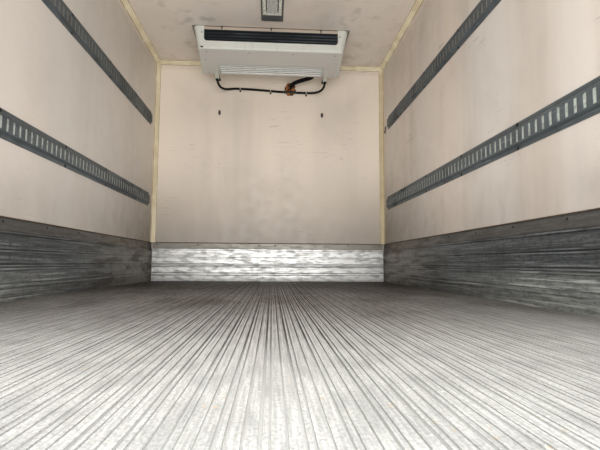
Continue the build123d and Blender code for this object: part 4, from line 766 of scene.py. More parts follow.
class Workshop:
    """Models pieces by hand-like operations and hands them over finished."""

    def __init__(self) -> None:
        """Make every finish once, to hand out by name."""
        self.finishes = {finish.name: finish.build() for finish in FINISHES}

    def dress(self, piece: Piece, finish: str) -> None:
        """Give a piece one finish."""
        piece.data.materials.clear()
        piece.data.materials.append(self.finishes[finish])

    @staticmethod
    def alone(piece: Piece | None = None) -> None:
        """Deselect everything, then select and activate one piece.

        Args:
            piece: The piece to select, or None.
        """
        if bpy.context.object and bpy.context.object.mode != "OBJECT":
            bpy.ops.object.mode_set(mode="OBJECT")
        bpy.ops.object.select_all(action="DESELECT")
        if piece is not None:
            piece.select_set(True)
            bpy.context.view_layer.objects.active = piece

    def hand_over(self, pieces: Piece | list[Piece], name: str, slot: str, body: str = "root",
                  finish: str | None = None, replaces: tuple[str, ...] = ()) -> None:
        """Join, name, place, dress and ride a finished piece.

        Args:
            pieces: The modelled object, or several that make one piece.
            name: Its name.
            slot: The record's material slot.
            body: The body that it rides on.
            finish: The finish, where it isn't the slot's own.
            replaces: Nodes that it stands for.
        """
        piece = self.joined(pieces) if isinstance(pieces, list) else pieces
        self.alone(piece)
        bpy.ops.object.transform_apply(location=True, rotation=True, scale=True)
        piece.name = name
        piece.data.name = name
        self.dress(piece, finish or slot)
        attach(piece, body)
        if replaces:
            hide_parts(*replaces)
        LOG.info("%s: %d faces on %s", name, len(piece.data.polygons), body)

    def joined(self, pieces: list[Piece]) -> Piece:
        """Join several objects into the first.

        Args:
            pieces: The objects.

        Returns:
            The joined object.
        """
        self.alone(pieces[0])
        for piece in pieces:
            piece.select_set(True)
        if len(pieces) > 1:
            bpy.ops.object.join()
        return bpy.context.object

    def copies(self, pattern: Piece, places: list[Place]) -> list[Piece]:
        """Copy a piece to several places and drop the pattern.

        Args:
            pattern: A piece modelled at the origin, its own +Z outward.
            places: Points with outward directions.

        Returns:
            The copies.
        """
        made = []
        for point, outward in places:
            mesh = pattern.data.copy()
            mesh.transform(placed(point, outward))
            made.append(bpy.data.objects.new(pattern.name, mesh))
            bpy.context.collection.objects.link(made[-1])
        bpy.data.objects.remove(pattern)
        return made

    def modify(self, piece: Piece, kind: str, **settings: object) -> None:
        """Add a modifier to a piece and apply it.

        Args:
            piece: The piece.
            kind: The modifier's type.
            settings: Its properties by name.
        """
        self.alone(piece)
        made = piece.modifiers.new(kind.lower(), kind)
        for key, value in settings.items():
            setattr(made, key, value)
        bpy.ops.object.modifier_apply(modifier=made.name)

    def smoothed(self, piece: Piece, angle: float = 40) -> Piece:
        """Shade a piece smooth but for its sharp edges.

        Args:
            piece: The piece.
            angle: Degrees from which an edge stays sharp.

        Returns:
            The same piece.
        """
        self.alone(piece)
        bpy.ops.object.shade_smooth_by_angle(angle=math.radians(angle))
        return piece

    def pick(self, piece: Piece, part: Part, chosen: set[int]) -> None:
        """Enter edit mode with only some faces or edges selected.

        Args:
            piece: The piece.
            part: Whether faces or edges are selected.
            chosen: Their indices.
        """
        self.alone(piece)
        bpy.ops.object.mode_set(mode="EDIT")
        bpy.ops.mesh.select_mode(type=part.name)
        bpy.ops.mesh.select_all(action="DESELECT")
        bpy.ops.object.mode_set(mode="OBJECT")
        for item in getattr(piece.data, part.value):
            item.select = item.index in chosen
        bpy.ops.object.mode_set(mode="EDIT")

    def raise_top(self, piece: Piece, steps: tuple[Pair, ...]) -> None:
        """Inset the top face and move it up, step by step.

        Args:
            piece: The piece, whose top face is its highest.
            steps: Inset and rise of each step.
        """
        faces = piece.data.polygons
        highest = max(face.center.z for face in faces)
        self.pick(piece, Part.FACE, {face.index for face in faces
                                     if abs(face.center.z - highest) < 1e-6 and face.normal.z > 0.9})
        for inset, rise in steps:
            bpy.ops.mesh.inset(thickness=inset, depth=0.0)
            bpy.ops.transform.translate(value=(0, 0, rise))
        bpy.ops.object.mode_set(mode="OBJECT")

    def cylinder(self, sides: int, radius: float, depth: float, centre: Triple = ORIGIN,
                 **more: object) -> Piece:
        """Cylinder by itself, upright unless it is turned.

        Args:
            sides: Sides of its outline.
            radius: Its radius.
            depth: Its height.
            centre: Its centre.
            more: Further settings of the primitive.

        Returns:
            The cylinder.
        """
        self.alone()
        bpy.ops.mesh.primitive_cylinder_add(vertices=sides, radius=radius, depth=depth,
                                            location=centre, **more)
        return bpy.context.object

    def domed_head(self, radius: float, height: float, sides: int = 10) -> Piece:
        """Low domed rivet head that stands on the plane z=0.

        Args:
            radius: Head's radius.
            height: Head's height.
            sides: Sides of its outline.

        Returns:
            The head.
        """
        head = self.cylinder(sides, radius, 0.4 * height, (0, 0, 0.2 * height))
        self.raise_top(head, ((0.28 * radius, 0.38 * height), (0.36 * radius, 0.22 * height)))
        return self.smoothed(head, 50)

    def hex_bolt(self, radius: float, height: float) -> Piece:
        """Hexagon bolt head on a round washer, standing on the plane z=0.

        Args:
            radius: Head's corner radius.
            height: Head's height above its washer.

        Returns:
            The bolt head.
        """
        base = 0.25 * height
        washer = self.cylinder(16, 1.45 * radius, base, (0, 0, 0.5 * base))
        self.raise_top(washer, ((0.12 * radius, 0.1 * base),))
        head = self.cylinder(6, radius, height, (0, 0, base + 0.5 * height))
        self.raise_top(head, ((0.14 * radius, 0.10 * height), (0.5 * radius, 0.0)))
        return self.joined([head, washer])

    def rounded_box(self, first: Triple, second: Triple, radius: float) -> Piece:
        """Box between two opposite corners, in any order, with rounded edges.

        Args:
            first: One corner.
            second: The opposite corner.
            radius: Width of the rounding.

        Returns:
            The box.
        """
        self.alone()
        bpy.ops.mesh.primitive_cube_add(size=1.0, location=(Vector(first) + Vector(second)) / 2)
        box = bpy.context.object
        box.scale = [abs(part) for part in Vector(second) - Vector(first)]
        bpy.ops.object.transform_apply(location=True, rotation=True, scale=True)
        self.modify(box, "BEVEL", width=radius, segments=2, limit_method="NONE")
        return self.smoothed(box)

    def sleeve(self, centre: Triple, axis: Triple, radius: float, sheet: float, width: float,
               sides: int = 24) -> Piece:
        """Flat band or duct round an axis.

        Args:
            centre: Its centre.
            axis: Direction of its axis.
            radius: Outer radius.
            sheet: Thickness.
            width: Width along the axis.
            sides: Sides of its outline.

        Returns:
            The sleeve.
        """
        piece = self.cylinder(sides, radius - sheet / 2, width, end_fill_type="NOTHING")
        self.modify(piece, "SOLIDIFY", thickness=sheet, offset=0.0)
        piece.data.transform(placed(centre, axis))
        return self.smoothed(piece)

    def rough_up(self, piece: Piece, depth: float, grain: float) -> None:
        """Push a surface in and out by soft lumps.

        Args:
            piece: The piece that gets lumps.
            depth: How far they reach.
            grain: Their size.
        """
        lumps = bpy.data.textures.new("lumps", "CLOUDS")
        lumps.noise_scale = grain
        lumps.noise_depth = 2
        self.modify(piece, "DISPLACE", texture=lumps, strength=depth, mid_level=0.5)

    def tube(self, points: list[Triple], radius: float) -> Piece:
        """Smooth round tube along a route, closed at its ends.

        Args:
            points: Control points of the route.
            radius: Tube's radius.

        Returns:
            The tube as a mesh object.
        """
        curve = bpy.data.curves.new("tube", "CURVE")
        curve.dimensions = "3D"
        curve.bevel_depth = radius
        curve.bevel_resolution = 5
        curve.use_fill_caps = True
        curve.resolution_u = 10
        spline = curve.splines.new("NURBS")
        spline.points.add(len(points) - 1)
        for knot, point in zip(spline.points, points):
            knot.co = (*point, 1.0)
        spline.order_u = 3
        spline.use_endpoint_u = True
        piece = bpy.data.objects.new("tube", curve)
        bpy.context.collection.objects.link(piece)
        self.alone(piece)
        bpy.ops.object.convert(target="MESH")
        bpy.ops.object.shade_smooth()
        return bpy.context.object


def placed(point: Triple, outward: Triple) -> Matrix:
    """Transform that stands a piece on a point, its own +Z outward."""
    return Matrix.Translation(point) @ Vector(outward).to_track_quat("Z", "Y").to_matrix().to_4x4()


def mirrored(places: list[Place]) -> list[Place]:
    """Places on the right side with their mirror images on the left."""
    return places + [((-x, y, z), (-nx, ny, nz)) for (x, y, z), (nx, ny, nz) in places]


def spaced(start: float, end: float, pitch: float) -> list[float]:
    """Values from start to end, evenly spaced by about a pitch."""
    count = max(1, round(abs(end - start) / pitch))
    return [start + (end - start) * index / count for index in range(count + 1)]


@dataclass
class Studio:
    """Camera, lamps, sky and floor."""

    eye: Triple = (0.024, -2.214, 0.478)
    yaw: float = 0.0619
    pitch: float = 0.0848
    roll: float = 0.006
    lens: float = 27.0
    sensor: float = 36.0
    sky: Triple = (236, 238, 240)
    sky_strength: float = 0.9
    floor_colour: Triple = (206, 206, 204)
    floor_size: float = 60.0

    def build(self) -> None:
        """Set up the whole studio."""
        bpy.context.scene.view_settings.view_transform = "Standard"
        self.add_camera()
        self.add_sky()
        self.add_lamps()
        self.add_floor()

    def add_camera(self) -> None:
        """Place the camera just inside the doorway, low over the floor."""
        data = bpy.data.cameras.new("camera")
        data.lens = self.lens
        data.sensor_width = self.sensor
        data.clip_start = 0.01
        camera = bpy.data.objects.new("camera", data)
        bpy.context.collection.objects.link(camera)
        level = math.cos(self.pitch)
        ahead = Vector((math.sin(self.yaw) * level, math.cos(self.yaw) * level, math.sin(self.pitch)))
        side = Vector((math.cos(self.yaw), -math.sin(self.yaw), 0.0))
        over = side.cross(ahead)
        right = side * math.cos(self.roll) + over * math.sin(self.roll)
        up = over * math.cos(self.roll) - side * math.sin(self.roll)
        turn = Matrix((right, up, -ahead)).transposed().to_4x4()
        camera.matrix_world = Matrix.Translation(self.eye) @ turn
        bpy.context.scene.camera = camera

    def add_sky(self) -> None:
        """Light the scene from a plain pale sky."""
        world = bpy.data.worlds.new("sky")
        world.use_nodes = True
        background = world.node_tree.nodes["Background"]
        background.inputs["Color"].default_value = linear(self.sky)
        background.inputs["Strength"].default_value = self.sky_strength
        bpy.context.scene.world = world

    def add_lamps(self) -> None:
        """Add daylight through the doorway, light thrown back by the floor, and one soft lamp outside."""
        upright = (RIGHT_ANGLE, 0.0, 0.0)
        middle = (Z_FLOOR + Z_CEILING) / 2
        self.area("doorway_daylight", (2.20, 2.10), 50.0, (0.0, Y_DOORWAY - 0.03, middle), upright)
        self.aimed("daylight", (3.0, 2.0), 145.0, (0.0, -4.9, 4.1), (0.0, -1.2, 0.3))
        upward = (2 * RIGHT_ANGLE, 0.0, 0.0)
        bounce = self.area("floor_bounce", (1.9, 3.0), 20.0, (0.0, 0.1, Z_FLOOR + 0.02), upward)
        bounce.visible_glossy = False
        self.aimed("key", (5.0, 5.0), 480.0, (6.5, -6.0, 8.0), (0.0, 0.0, 1.3))

    def aimed(self, name: str, size: Pair, power: float, place: Triple,
              target: Triple) -> None:
        """Make a rectangular lamp that faces a target."""
        aim = Vector(target) - Vector(place)
        self.area(name, size, power, place, aim.to_track_quat("-Z", "Y").to_euler())

    def area(self, name: str, size: Pair, power: float, place: Triple, turn: Triple) -> Piece:
        """Make a rectangular lamp that the camera doesn't see.

        Args:
            name: The lamp's name.
            size: Width and height.
            power: Watts.
            place: Its centre.
            turn: Its angles about the axes.

        Returns:
            The lamp.
        """
        data = bpy.data.lights.new(name, "AREA")
        data.shape = "RECTANGLE"
        data.size, data.size_y = size
        data.energy = power
        lamp = bpy.data.objects.new(name, data)
        lamp.location = place
        lamp.rotation_euler = turn
        lamp.visible_camera = False
        bpy.context.collection.objects.link(lamp)
        return lamp

    def add_floor(self) -> None:
        """Lay a plain pale floor under the runners."""
        bpy.ops.object.select_all(action="DESELECT")
        bpy.ops.mesh.primitive_plane_add(size=self.floor_size, location=(0, 0, 0))
        floor = bpy.context.object
        floor.name = "studio_floor"
        floor.data.materials.append(Finish("studio_floor", self.floor_colour, 0.8).build())


@dataclass
class Fitting:
    """A sub-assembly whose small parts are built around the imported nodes."""

    shop: Workshop

    def build(self) -> None:
        """Build the parts and hand them over."""
        raise NotImplementedError

    def spread(self, pattern: Piece, places: list[Place], name: str, slot: str, **more: str) -> None:
        """Copy a rivet, screw or bolt to its places and hand the copies over as one piece."""
        self.shop.hand_over(self.shop.copies(pattern, places), name, slot, **more)


@dataclass
class Nodes(Fitting):
    """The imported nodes, each dressed with its slot's finish or its own."""

    special: dict[str, str] = field(default_factory=lambda: {
        "front_wall": "bulkhead_panel", "evaporator_housing": "cover_plastic",
        "evaporator_grille": "grille_plastic", "drain_spigots": "aged_plastic",
        "drain_hose_left": "hose_rubber", "drain_hose_right": "hose_rubber"})

    def build(self) -> None:
        """Dress every node."""
        slots = {part["node"]: part["material_slot"] for part in frame["record"]["subparts"]}
        for name, piece in frame["nodes"].items():
            self.shop.dress(piece, self.special.get(name, slots[name]))


@dataclass
class LoadRails(Fitting):
    """Rivets of the slotted load rails, and pale strips behind their slots that paint light into them."""

    flange: float = 0.055
    head: float = 0.0095
    height: float = 0.004
    pitch: float = 0.62
    first: float = -2.11
    count: int = 7
    stand: float = 0.0025
    light_strip: float = 0.0105
    light_strip_half: float = 0.031
    light_strip_end: float = 0.02
    light_strip_round: float = 0.001
    # Colours of the painted light in the lower and upper slots.
    levels: tuple[tuple[str, str], ...] = (("lower", "dull_plastic"), ("upper", "grey_paint"))

    def build(self) -> None:
        """Add the rivets of all four rails, and pale strips behind their slots that stand in for light seen
        through them.
        """
        places = []
        face = HALF_IN - self.stand
        for level_name, finish in self.levels:
            light_strips = []
            for side, side_name in zip(SIDES, ("left", "right")):
                low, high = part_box(f"load_rail_{side_name}_{level_name}")
                level = (low.z + high.z) / 2
                places += [((side * face, self.first + self.pitch * index, level + step * self.flange),
                            (-side, 0, 0)) for index in range(self.count) for step in SIDES]
                # Pale strips just behind the slots stand in for light seen through them: painted light.
                light_strips.append(self.shop.rounded_box(
                    (side * (HALF_IN - self.light_strip), low.y + self.light_strip_end, level - self.light_strip_half),
                    (side * face, high.y - self.light_strip_end, level + self.light_strip_half), self.light_strip_round))
            self.shop.hand_over(light_strips, f"slot_liners_{level_name}", "black_plastic", finish=finish)
        head = self.shop.domed_head(self.head, self.height)
        self.spread(head, places, "rail_rivets", "rail_steel", finish="black_paint")


@dataclass
class KickPlates(Fitting):
    """Rivets and sealant of the kick plates' top flanges."""

    drop: float = 0.019
    stand: float = 0.003
    head: float = 0.006
    height: float = 0.003
    pitch: float = 0.40
    bead: float = 0.003
    waver: float = 0.0008
    front_x: Row = (-1.094, -0.699, -0.104, 0.054, 0.782, 1.106)

    def build(self) -> None:
        """Add the rivets and the uneven beads along the walls and across the bulkhead."""
        z = KICK_TOP - self.drop
        walls = [((HALF_IN - self.stand, y, z), (-1, 0, 0)) for y in spaced(-2.12, 2.14, self.pitch)]
        front = [((x, Y_BULKHEAD - self.stand, z), (0, -1, 0)) for x in self.front_x]
        head = self.shop.domed_head(self.head, self.height)
        self.spread(head, mirrored(walls) + front, "kick_plate_rivets", "kick_aluminium",
                    finish="black_paint")
        x = HALF_IN - 0.6 * self.bead
        routes = [[(side * (x - self.waver * math.sin(5.0 * index)), y,
                    KICK_TOP + self.waver * math.sin(3.1 * index))
                   for index, y in enumerate(spaced(-2.235, 2.236, 0.28))] for side in SIDES]
        routes.append([(x, Y_BULKHEAD - 0.0018 + 0.0007 * math.sin(4.3 * index),
                        KICK_TOP + 0.0009 * math.sin(2.7 * index))
                       for index, x in enumerate(spaced(-1.134, 1.134, 0.24))])
        beads = [self.shop.tube(route, self.bead) for route in routes]
        self.shop.hand_over(beads, "kick_plate_sealant", "black_rubber", finish="old_sealant")


@dataclass
class WallMarks(Fitting):
    """Torn sealant left in the load space's right front corner."""

    route: tuple[Triple, ...] = ((1.146, 2.118, 1.842), (1.138, 2.126, 1.826), (1.145, 2.131, 1.808),
                                 (1.136, 2.137, 1.792), (1.146, 2.142, 1.781))
    radius: float = 0.0055
    lumps: Pair = (0.010, 0.03)

    def build(self) -> None:
        """Add the torn strip."""
        strip = self.shop.tube(self.route, self.radius)
        self.shop.rough_up(strip, *self.lumps)
        self.shop.hand_over(strip, "torn_sealant", "cove_plastic", finish="old_sealant")


@dataclass
class CeilingLamp(Fitting):
    """Screws and end clips of the ceiling lamp."""

    screw: float = 0.006
    height: float = 0.003
    inset: float = 0.014
    pitch: float = 0.28
    clip: float = 0.026
    clip_round: float = 0.002
    clip_reach: Triple = (0.006, 0.008, 0.002)

    def build(self) -> None:
        """Add the base's screws and the frame's clips."""
        low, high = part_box("lamp_base")
        places = [((x, y, low.z), (0, 0, -1)) for x in (low.x + self.inset, high.x - self.inset)
                  for y in spaced(low.y + self.inset, high.y - self.inset, self.pitch)]
        head = self.shop.domed_head(self.screw, self.height)
        self.spread(head, places, "lamp_screws", "lamp_base", finish="bare_screw")
        low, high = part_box("lamp_frame")
        middle = (low.x + high.x) / 2
        out, back, gap = self.clip_reach
        clips = [self.shop.rounded_box((middle - self.clip / 2, edge + way * out, low.z + gap),
                                       (middle + self.clip / 2, edge - way * back, high.z - gap),
                                       self.clip_round)
                 for edge, way in ((low.y, -1), (high.y, 1))]
        self.shop.hand_over(clips, "lamp_clips", "lamp_base")


@dataclass
class Evaporator(Fitting):
    """Small parts of the ceiling evaporator's cover, and its intake louvre."""

    slats: int = 5
    lip: float = 0.009
    sheet: float = 0.0025
    rim: float = 0.012
    rim_round: float = 0.0025
    intake_y: Pair = (1.795, 1.988)
    intake_half: float = 0.487
    front_z: float = 2.297
    slope: float = math.atan2(0.019, 0.491)
    flange: float = 0.010
    flange_x: Pair = (0.650, 0.682)
    cap_x: Pair = (0.578, 0.664)
    bracket_x: Row = (-0.426, -0.003, 0.428)
    bracket: Triple = (0.010, 0.007, 0.026)
    cap_screw: Place = ((0.595, 1.522, 2.441), (0.0, -1.0, 0.0))
    latch: Triple = (-0.592, 1.522, 2.313)
    strip_half: float = 0.576
    strip_y: Pair = (0.0052, 0.0092)
    strip_drop: float = 0.006
    cap_strip: float = 0.004
    cap_lip: float = 0.0004
    flange_end: float = 0.06
    row_x: Row = (-0.56, -0.19, 0.19, 0.56)
    row_y: Triple = (0.055, 0.20, 0.045)
    edge_x: float = 0.588
    screw: Pair = (0.0055, 0.003)

    def build(self) -> None:
        """Add the louvre, the strips and flanges under the ceiling, and the fasteners."""
        self.low, self.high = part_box("evaporator_housing")
        self.add_louvre()
        self.add_rims()
        self.add_brackets()
        self.add_screws()

    def slat(self, half: float, y: float, reach: float) -> Piece:
        """One slat of the intake: a lip that faces the doorway, and its plate running back over the next.

        Args:
            half: Half of its length.
            y: Where the lip stands.
            reach: How far the plate runs back.

        Returns:
            The slat.
        """
        self.shop.alone()
        middle = self.front_z + 0.001 + self.lip / 2
        bpy.ops.mesh.primitive_plane_add(size=1.0, location=(0, y, middle), rotation=(RIGHT_ANGLE, 0, 0))
        piece = bpy.context.object
        piece.scale = (2 * half, self.lip, 1.0)
        bpy.ops.object.transform_apply(location=True, rotation=True, scale=True)
        corners = piece.data.vertices
        self.shop.pick(piece, Part.EDGE, {edge.index for edge in piece.data.edges
                                          if all(corners[index].co.z > middle for index in edge.vertices)})
        bpy.ops.mesh.extrude_edges_move(TRANSFORM_OT_translate={"value": (0.0, reach, 0.0)})
        bpy.ops.mesh.select_all(action="SELECT")
        bpy.ops.mesh.normals_make_consistent(inside=False)
        self.shop.modify(piece, "SOLIDIFY", thickness=self.sheet, offset=0.0)
        self.shop.modify(piece, "BEVEL", width=0.0007, segments=2)
        return self.shop.smoothed(piece)

    def add_louvre(self) -> None:
        """Add the intake's frame and slats, sloped with the cover's underside."""
        (y0, y1), half, z = self.intake_y, self.intake_half, self.front_z
        bars = [self.shop.rounded_box(first, second, self.rim_round) for first, second in (
            ((-half, y0, z), (half, y0 + self.rim, z + self.rim)),
            ((-half, y1 - self.rim, z), (half, y1, z + self.rim)),
            ((-half, y0, z), (self.rim - half, y1, z + self.rim)),
            ((half - self.rim, y0, z), (half, y1, z + self.rim)))]
        pitch = (y1 - y0 - self.rim) / self.slats
        for index in range(self.slats):
            y = y0 + self.rim / 2 + pitch * (index + 0.6)
            bars.append(self.slat(half - self.rim / 2, y, min(0.86 * pitch, y1 - self.rim / 2 - y)))
        louvre = self.shop.joined(bars)
        pivot = Vector((0.0, self.low.y, z))
        turn = Matrix.Rotation(-self.slope, 4, "X")
        louvre.data.transform(Matrix.Translation(pivot) @ turn @ Matrix.Translation(-pivot))
        self.shop.hand_over(louvre, "intake_louvre", "white_plastic", finish="louvre_plastic",
                            replaces=("evaporator_louvre",))

    def add_rims(self) -> None:
        """Add dark strips under the ceiling, painted shade in the gap over the cover and its end caps, and
        the flanges that close the end caps, painted grey as painted shade.
        """
        y, top = self.low.y, self.high.z
        half, (near, far), drop = self.strip_half, self.strip_y, self.strip_drop
        # Dark strips stand in for the shadow in the gap under the ceiling: painted shade.
        strips = [self.shop.rounded_box((-half, y + near, top - drop), (half, y + far, top), 0.0012)]
        flanges = []
        for side in SIDES:
            strips.append(self.shop.rounded_box(
                (side * self.cap_x[0], y - self.cap_lip, top - self.cap_strip),
                (side * self.cap_x[1], y + self.cap_strip, top), 0.001))
            flanges.append(self.shop.rounded_box(
                (side * self.flange_x[0], y, top - self.flange),
                (side * self.flange_x[1], self.high.y - self.flange_end, top), 0.003))
        self.shop.hand_over(strips, "cover_gap_strip", "black_plastic", finish="old_sealant")
        # The flanges are painted grey: painted shade under the ceiling.
        self.shop.hand_over(flanges, "cover_flanges", "white_plastic", finish="grey_paint")

    def add_brackets(self) -> None:
        """Add the short clips that hold the cover's lip under the ceiling."""
        width, depth, height = self.bracket
        y, top = self.low.y, self.high.z - 0.001
        blocks = ((width / 2, height, 0.0015), (width, 0.006, 0.0012))
        clips = [self.shop.rounded_box((x - reach, y, top - drop), (x + reach, y + depth, top), edge)
                 for x in self.bracket_x for reach, drop, edge in blocks]
        self.shop.hand_over(clips, "lip_brackets", "dark_metal")

    def add_screws(self) -> None:
        """Add the screws of the end caps and the underside, and the quarter-turn latch in the left cap."""
        near, start, end = self.row_y
        below = [(x, self.low.y + near) for x in self.row_x]
        below += [(side * self.edge_x, y) for side in SIDES for y in (self.low.y + start, self.high.y - end)]
        fall = math.tan(self.slope)
        places = mirrored([self.cap_screw])
        places += [((x, y, self.front_z - fall * (y - self.low.y)), (0, 0, -1)) for x, y in below]
        self.spread(self.shop.domed_head(*self.screw), places, "cover_screws", "dark_metal")
        x, y, z = self.latch
        plate = self.shop.rounded_box((x - 0.012, y - 0.001, z - 0.007),
                                      (x + 0.012, y + 0.003, z + 0.007), 0.002)
        knob = self.shop.rounded_box((x - 0.009, y - 0.003, z - 0.0015), (x + 0.009, y, z + 0.0015), 0.0008)
        self.shop.hand_over([plate, knob], "cover_latch", "dark_metal")


@dataclass
class DrainLines(Fitting):
    """Pipes, foam, clips and clamps under the evaporator."""

    route: tuple[Triple, ...] = ((0.405, 2.013, 2.302), (0.405, 2.045, 2.302), (0.368, 2.088, 2.300),
                                 (0.306, 2.124, 2.296), (0.244, 2.144, 2.282), (0.198, 2.172, 2.263),
                                 (0.188, 2.198, 2.253), (0.188, 2.232, 2.253))
    pipes: tuple[tuple[Triple, float], ...] = (((0.0, 0.001, 0.0100), 0.0102),
                                               ((0.004, 0.002, -0.0100), 0.0098),
                                               ((-0.002, -0.0135, 0.001), 0.0050))
    tie: Triple = (0.0182, 0.0016, 0.005)
    foam_reach: float = 0.004
    foam_share: Triple = (0.92, 1.30, 0.92)
    foam_lumps: tuple[Pair, ...] = ((0.034, 0.024), (0.018, 0.008))
    spigots: tuple[Triple, ...] = ((-0.518, 2.026, 2.246), (0.520, 2.026, 2.248))
    cuff: Triple = (0.0235, 0.010, 0.024)
    clamp: Triple = (0.0180, 0.006, 0.014)
    clamp_screw: Triple = (0.009, 0.008, 0.013)
    clip_places: tuple[Triple, ...] = ((-0.314, 2.2363, 2.2331), (-0.008, 2.2361, 2.2191),
                                       (0.355, 2.236, 2.209))
    band: Triple = (0.0132, 0.0022, 0.008)
    tab: Triple = (0.008, 0.003, 0.024)
    tab_drop: float = 0.006
    tee: tuple[Triple, ...] = ((0.118, 2.236, 2.213), (0.160, 2.235, 2.2125), (0.215, 2.235, 2.2095),
                               (0.262, 2.236, 2.209))
    tee_radius: float = 0.0112
    collar: Triple = (0.0145, 0.004, 0.009)
    collar_x: Pair = (0.136, 0.238)
    tab_screw: Pair = (0.0055, 0.004)
    clamp_step: Pair = (0.010, 0.022)

    def build(self) -> None:
        """Add the pipes, the foam, the clips, and the hoses' clamps and tee."""
        self.add_pipes()
        self.add_foam()
        self.add_clips()
        self.add_clamps()

    def add_pipes(self) -> None:
        """Add two lagged pipes and a cable side by side, tied together."""
        tubes = [self.shop.tube([(x + dx, y + dy, z + dz) for x, y, z in self.route], radius)
                 for (dx, dy, dz), radius in self.pipes]
        for start, end in zip(map(Vector, self.route[1:5]), map(Vector, self.route[2:6])):
            tubes.append(self.shop.sleeve((start + end) / 2, end - start, *self.tie))
        self.shop.hand_over(tubes, "refrigerant_pipes", "black_rubber", replaces=("pipe_bundle",))

    def add_foam(self) -> None:
        """Add a torn lump of spray foam round the pipes' way through the bulkhead."""
        low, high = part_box("pipe_foam")
        centre = (low + high) / 2
        centre.y = high.y - self.foam_reach
        size = high - low
        self.shop.alone()
        bpy.ops.mesh.primitive_ico_sphere_add(subdivisions=5, radius=0.5, location=centre)
        lump = bpy.context.object
        lump.scale = [share * part for share, part in zip(self.foam_share, size)]
        bpy.ops.object.transform_apply(location=True, rotation=True, scale=True)
        for depth, grain in self.foam_lumps:
            self.shop.rough_up(lump, depth, grain)
        for corner in lump.data.vertices:
            corner.co = [min(max(part, least), most) for part, least, most in zip(corner.co, low, high)]
        self.shop.hand_over(lump, "pipe_foam_lump", "foam", replaces=("pipe_foam",))

    def add_clips(self) -> None:
        """Add banded clips, each with a screwed tab below the hose."""
        half, thick, drop = self.tab
        face = Y_BULKHEAD - thick
        bands = [self.shop.sleeve(place, (1, 0, 0), *self.band) for place in self.clip_places]
        self.shop.hand_over(bands, "hose_bands", "dark_metal", finish="zinc", replaces=("hose_clips",))
        tabs = [self.shop.rounded_box((x - half, face, z - drop - self.tab_drop),
                                      (x + half, Y_BULKHEAD, z - self.tab_drop), 0.001)
                for x, y, z in self.clip_places]
        self.shop.hand_over(tabs, "hose_band_tabs", "dark_metal", finish="hose_rubber")
        places = [((x, face, z - drop + 0.004), (0, -1, 0)) for x, y, z in self.clip_places]
        screw = self.shop.hex_bolt(*self.tab_screw)
        self.spread(screw, places, "hose_band_screws", "dark_metal", finish="rusty_steel")

    def add_clamps(self) -> None:
        """Add cuffs and worm-drive clamps where the hoses leave the spigots, and the tee with its collars."""
        along = Vector((0.0, 1.0, -1.0)).normalized()
        pieces = []
        for spigot in map(Vector, self.spigots):
            pieces.append(self.shop.sleeve(spigot - along * 0.006, along, *self.cuff))
            centre = spigot + along * self.clamp_step[0]
            pieces.append(self.shop.sleeve(centre, along, *self.clamp))
            aside = math.copysign(self.clamp_step[1], -centre.x)
            screw = centre + Vector((aside, 0.0, 0.0))
            half = Vector(self.clamp_screw)
            pieces.append(self.shop.rounded_box(screw - half, screw + half, 0.0018))
        self.shop.hand_over(pieces, "hose_clamps", "black_rubber", finish="hose_rubber")
        collars = [self.shop.tube(self.tee, self.tee_radius)]
        collars += [self.shop.sleeve((x, 2.236, 2.211), (1, 0, 0), *self.collar) for x in self.collar_x]
        self.shop.hand_over(collars, "drain_tee", "black_rubber", finish="black_plastic")


@dataclass
class BulkheadTies(Fitting):
    """Oval tie plates on the bulkhead, each with two rivets."""

    half_width: float = 0.013
    half_height: float = 0.025
    thick: float = 0.012
    rivet: float = 0.0075
    rivet_step: float = 0.0115

    def build(self) -> None:
        """Replace the plain ovals by dished plates with rivets."""
        low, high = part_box("bulkhead_fittings")
        z = (low.z + high.z) / 2
        x = high.x - self.half_width
        rise = 0.3 * self.thick
        plate = self.shop.cylinder(32, 1.0, 0.4 * self.thick, (0, 0, 0.2 * self.thick))
        plate.scale = (self.half_height, self.half_width, 1.0)
        bpy.ops.object.transform_apply(location=True, rotation=True, scale=True)
        self.shop.raise_top(plate, ((0.0012, rise), (0.0022, rise), (0.0024, 0.0), (0.0014, -0.0035)))
        self.shop.smoothed(plate, 50)
        plate.data.transform(Matrix.Rotation(RIGHT_ANGLE, 4, "Z"))
        plates = self.shop.copies(plate, mirrored([((x, Y_BULKHEAD, z), (0, -1, 0))]))
        self.shop.hand_over(plates, "tie_plates", "dark_metal", replaces=("bulkhead_fittings",))
        face = Y_BULKHEAD - 0.55 * self.thick
        spots = [((x, face, z + side * self.rivet_step), (0, -1, 0)) for side in SIDES]
        head = self.shop.domed_head(self.rivet, 0.42 * self.thick)
        self.spread(head, mirrored(spots), "tie_rivets", "dark_metal", finish="rusty_steel")


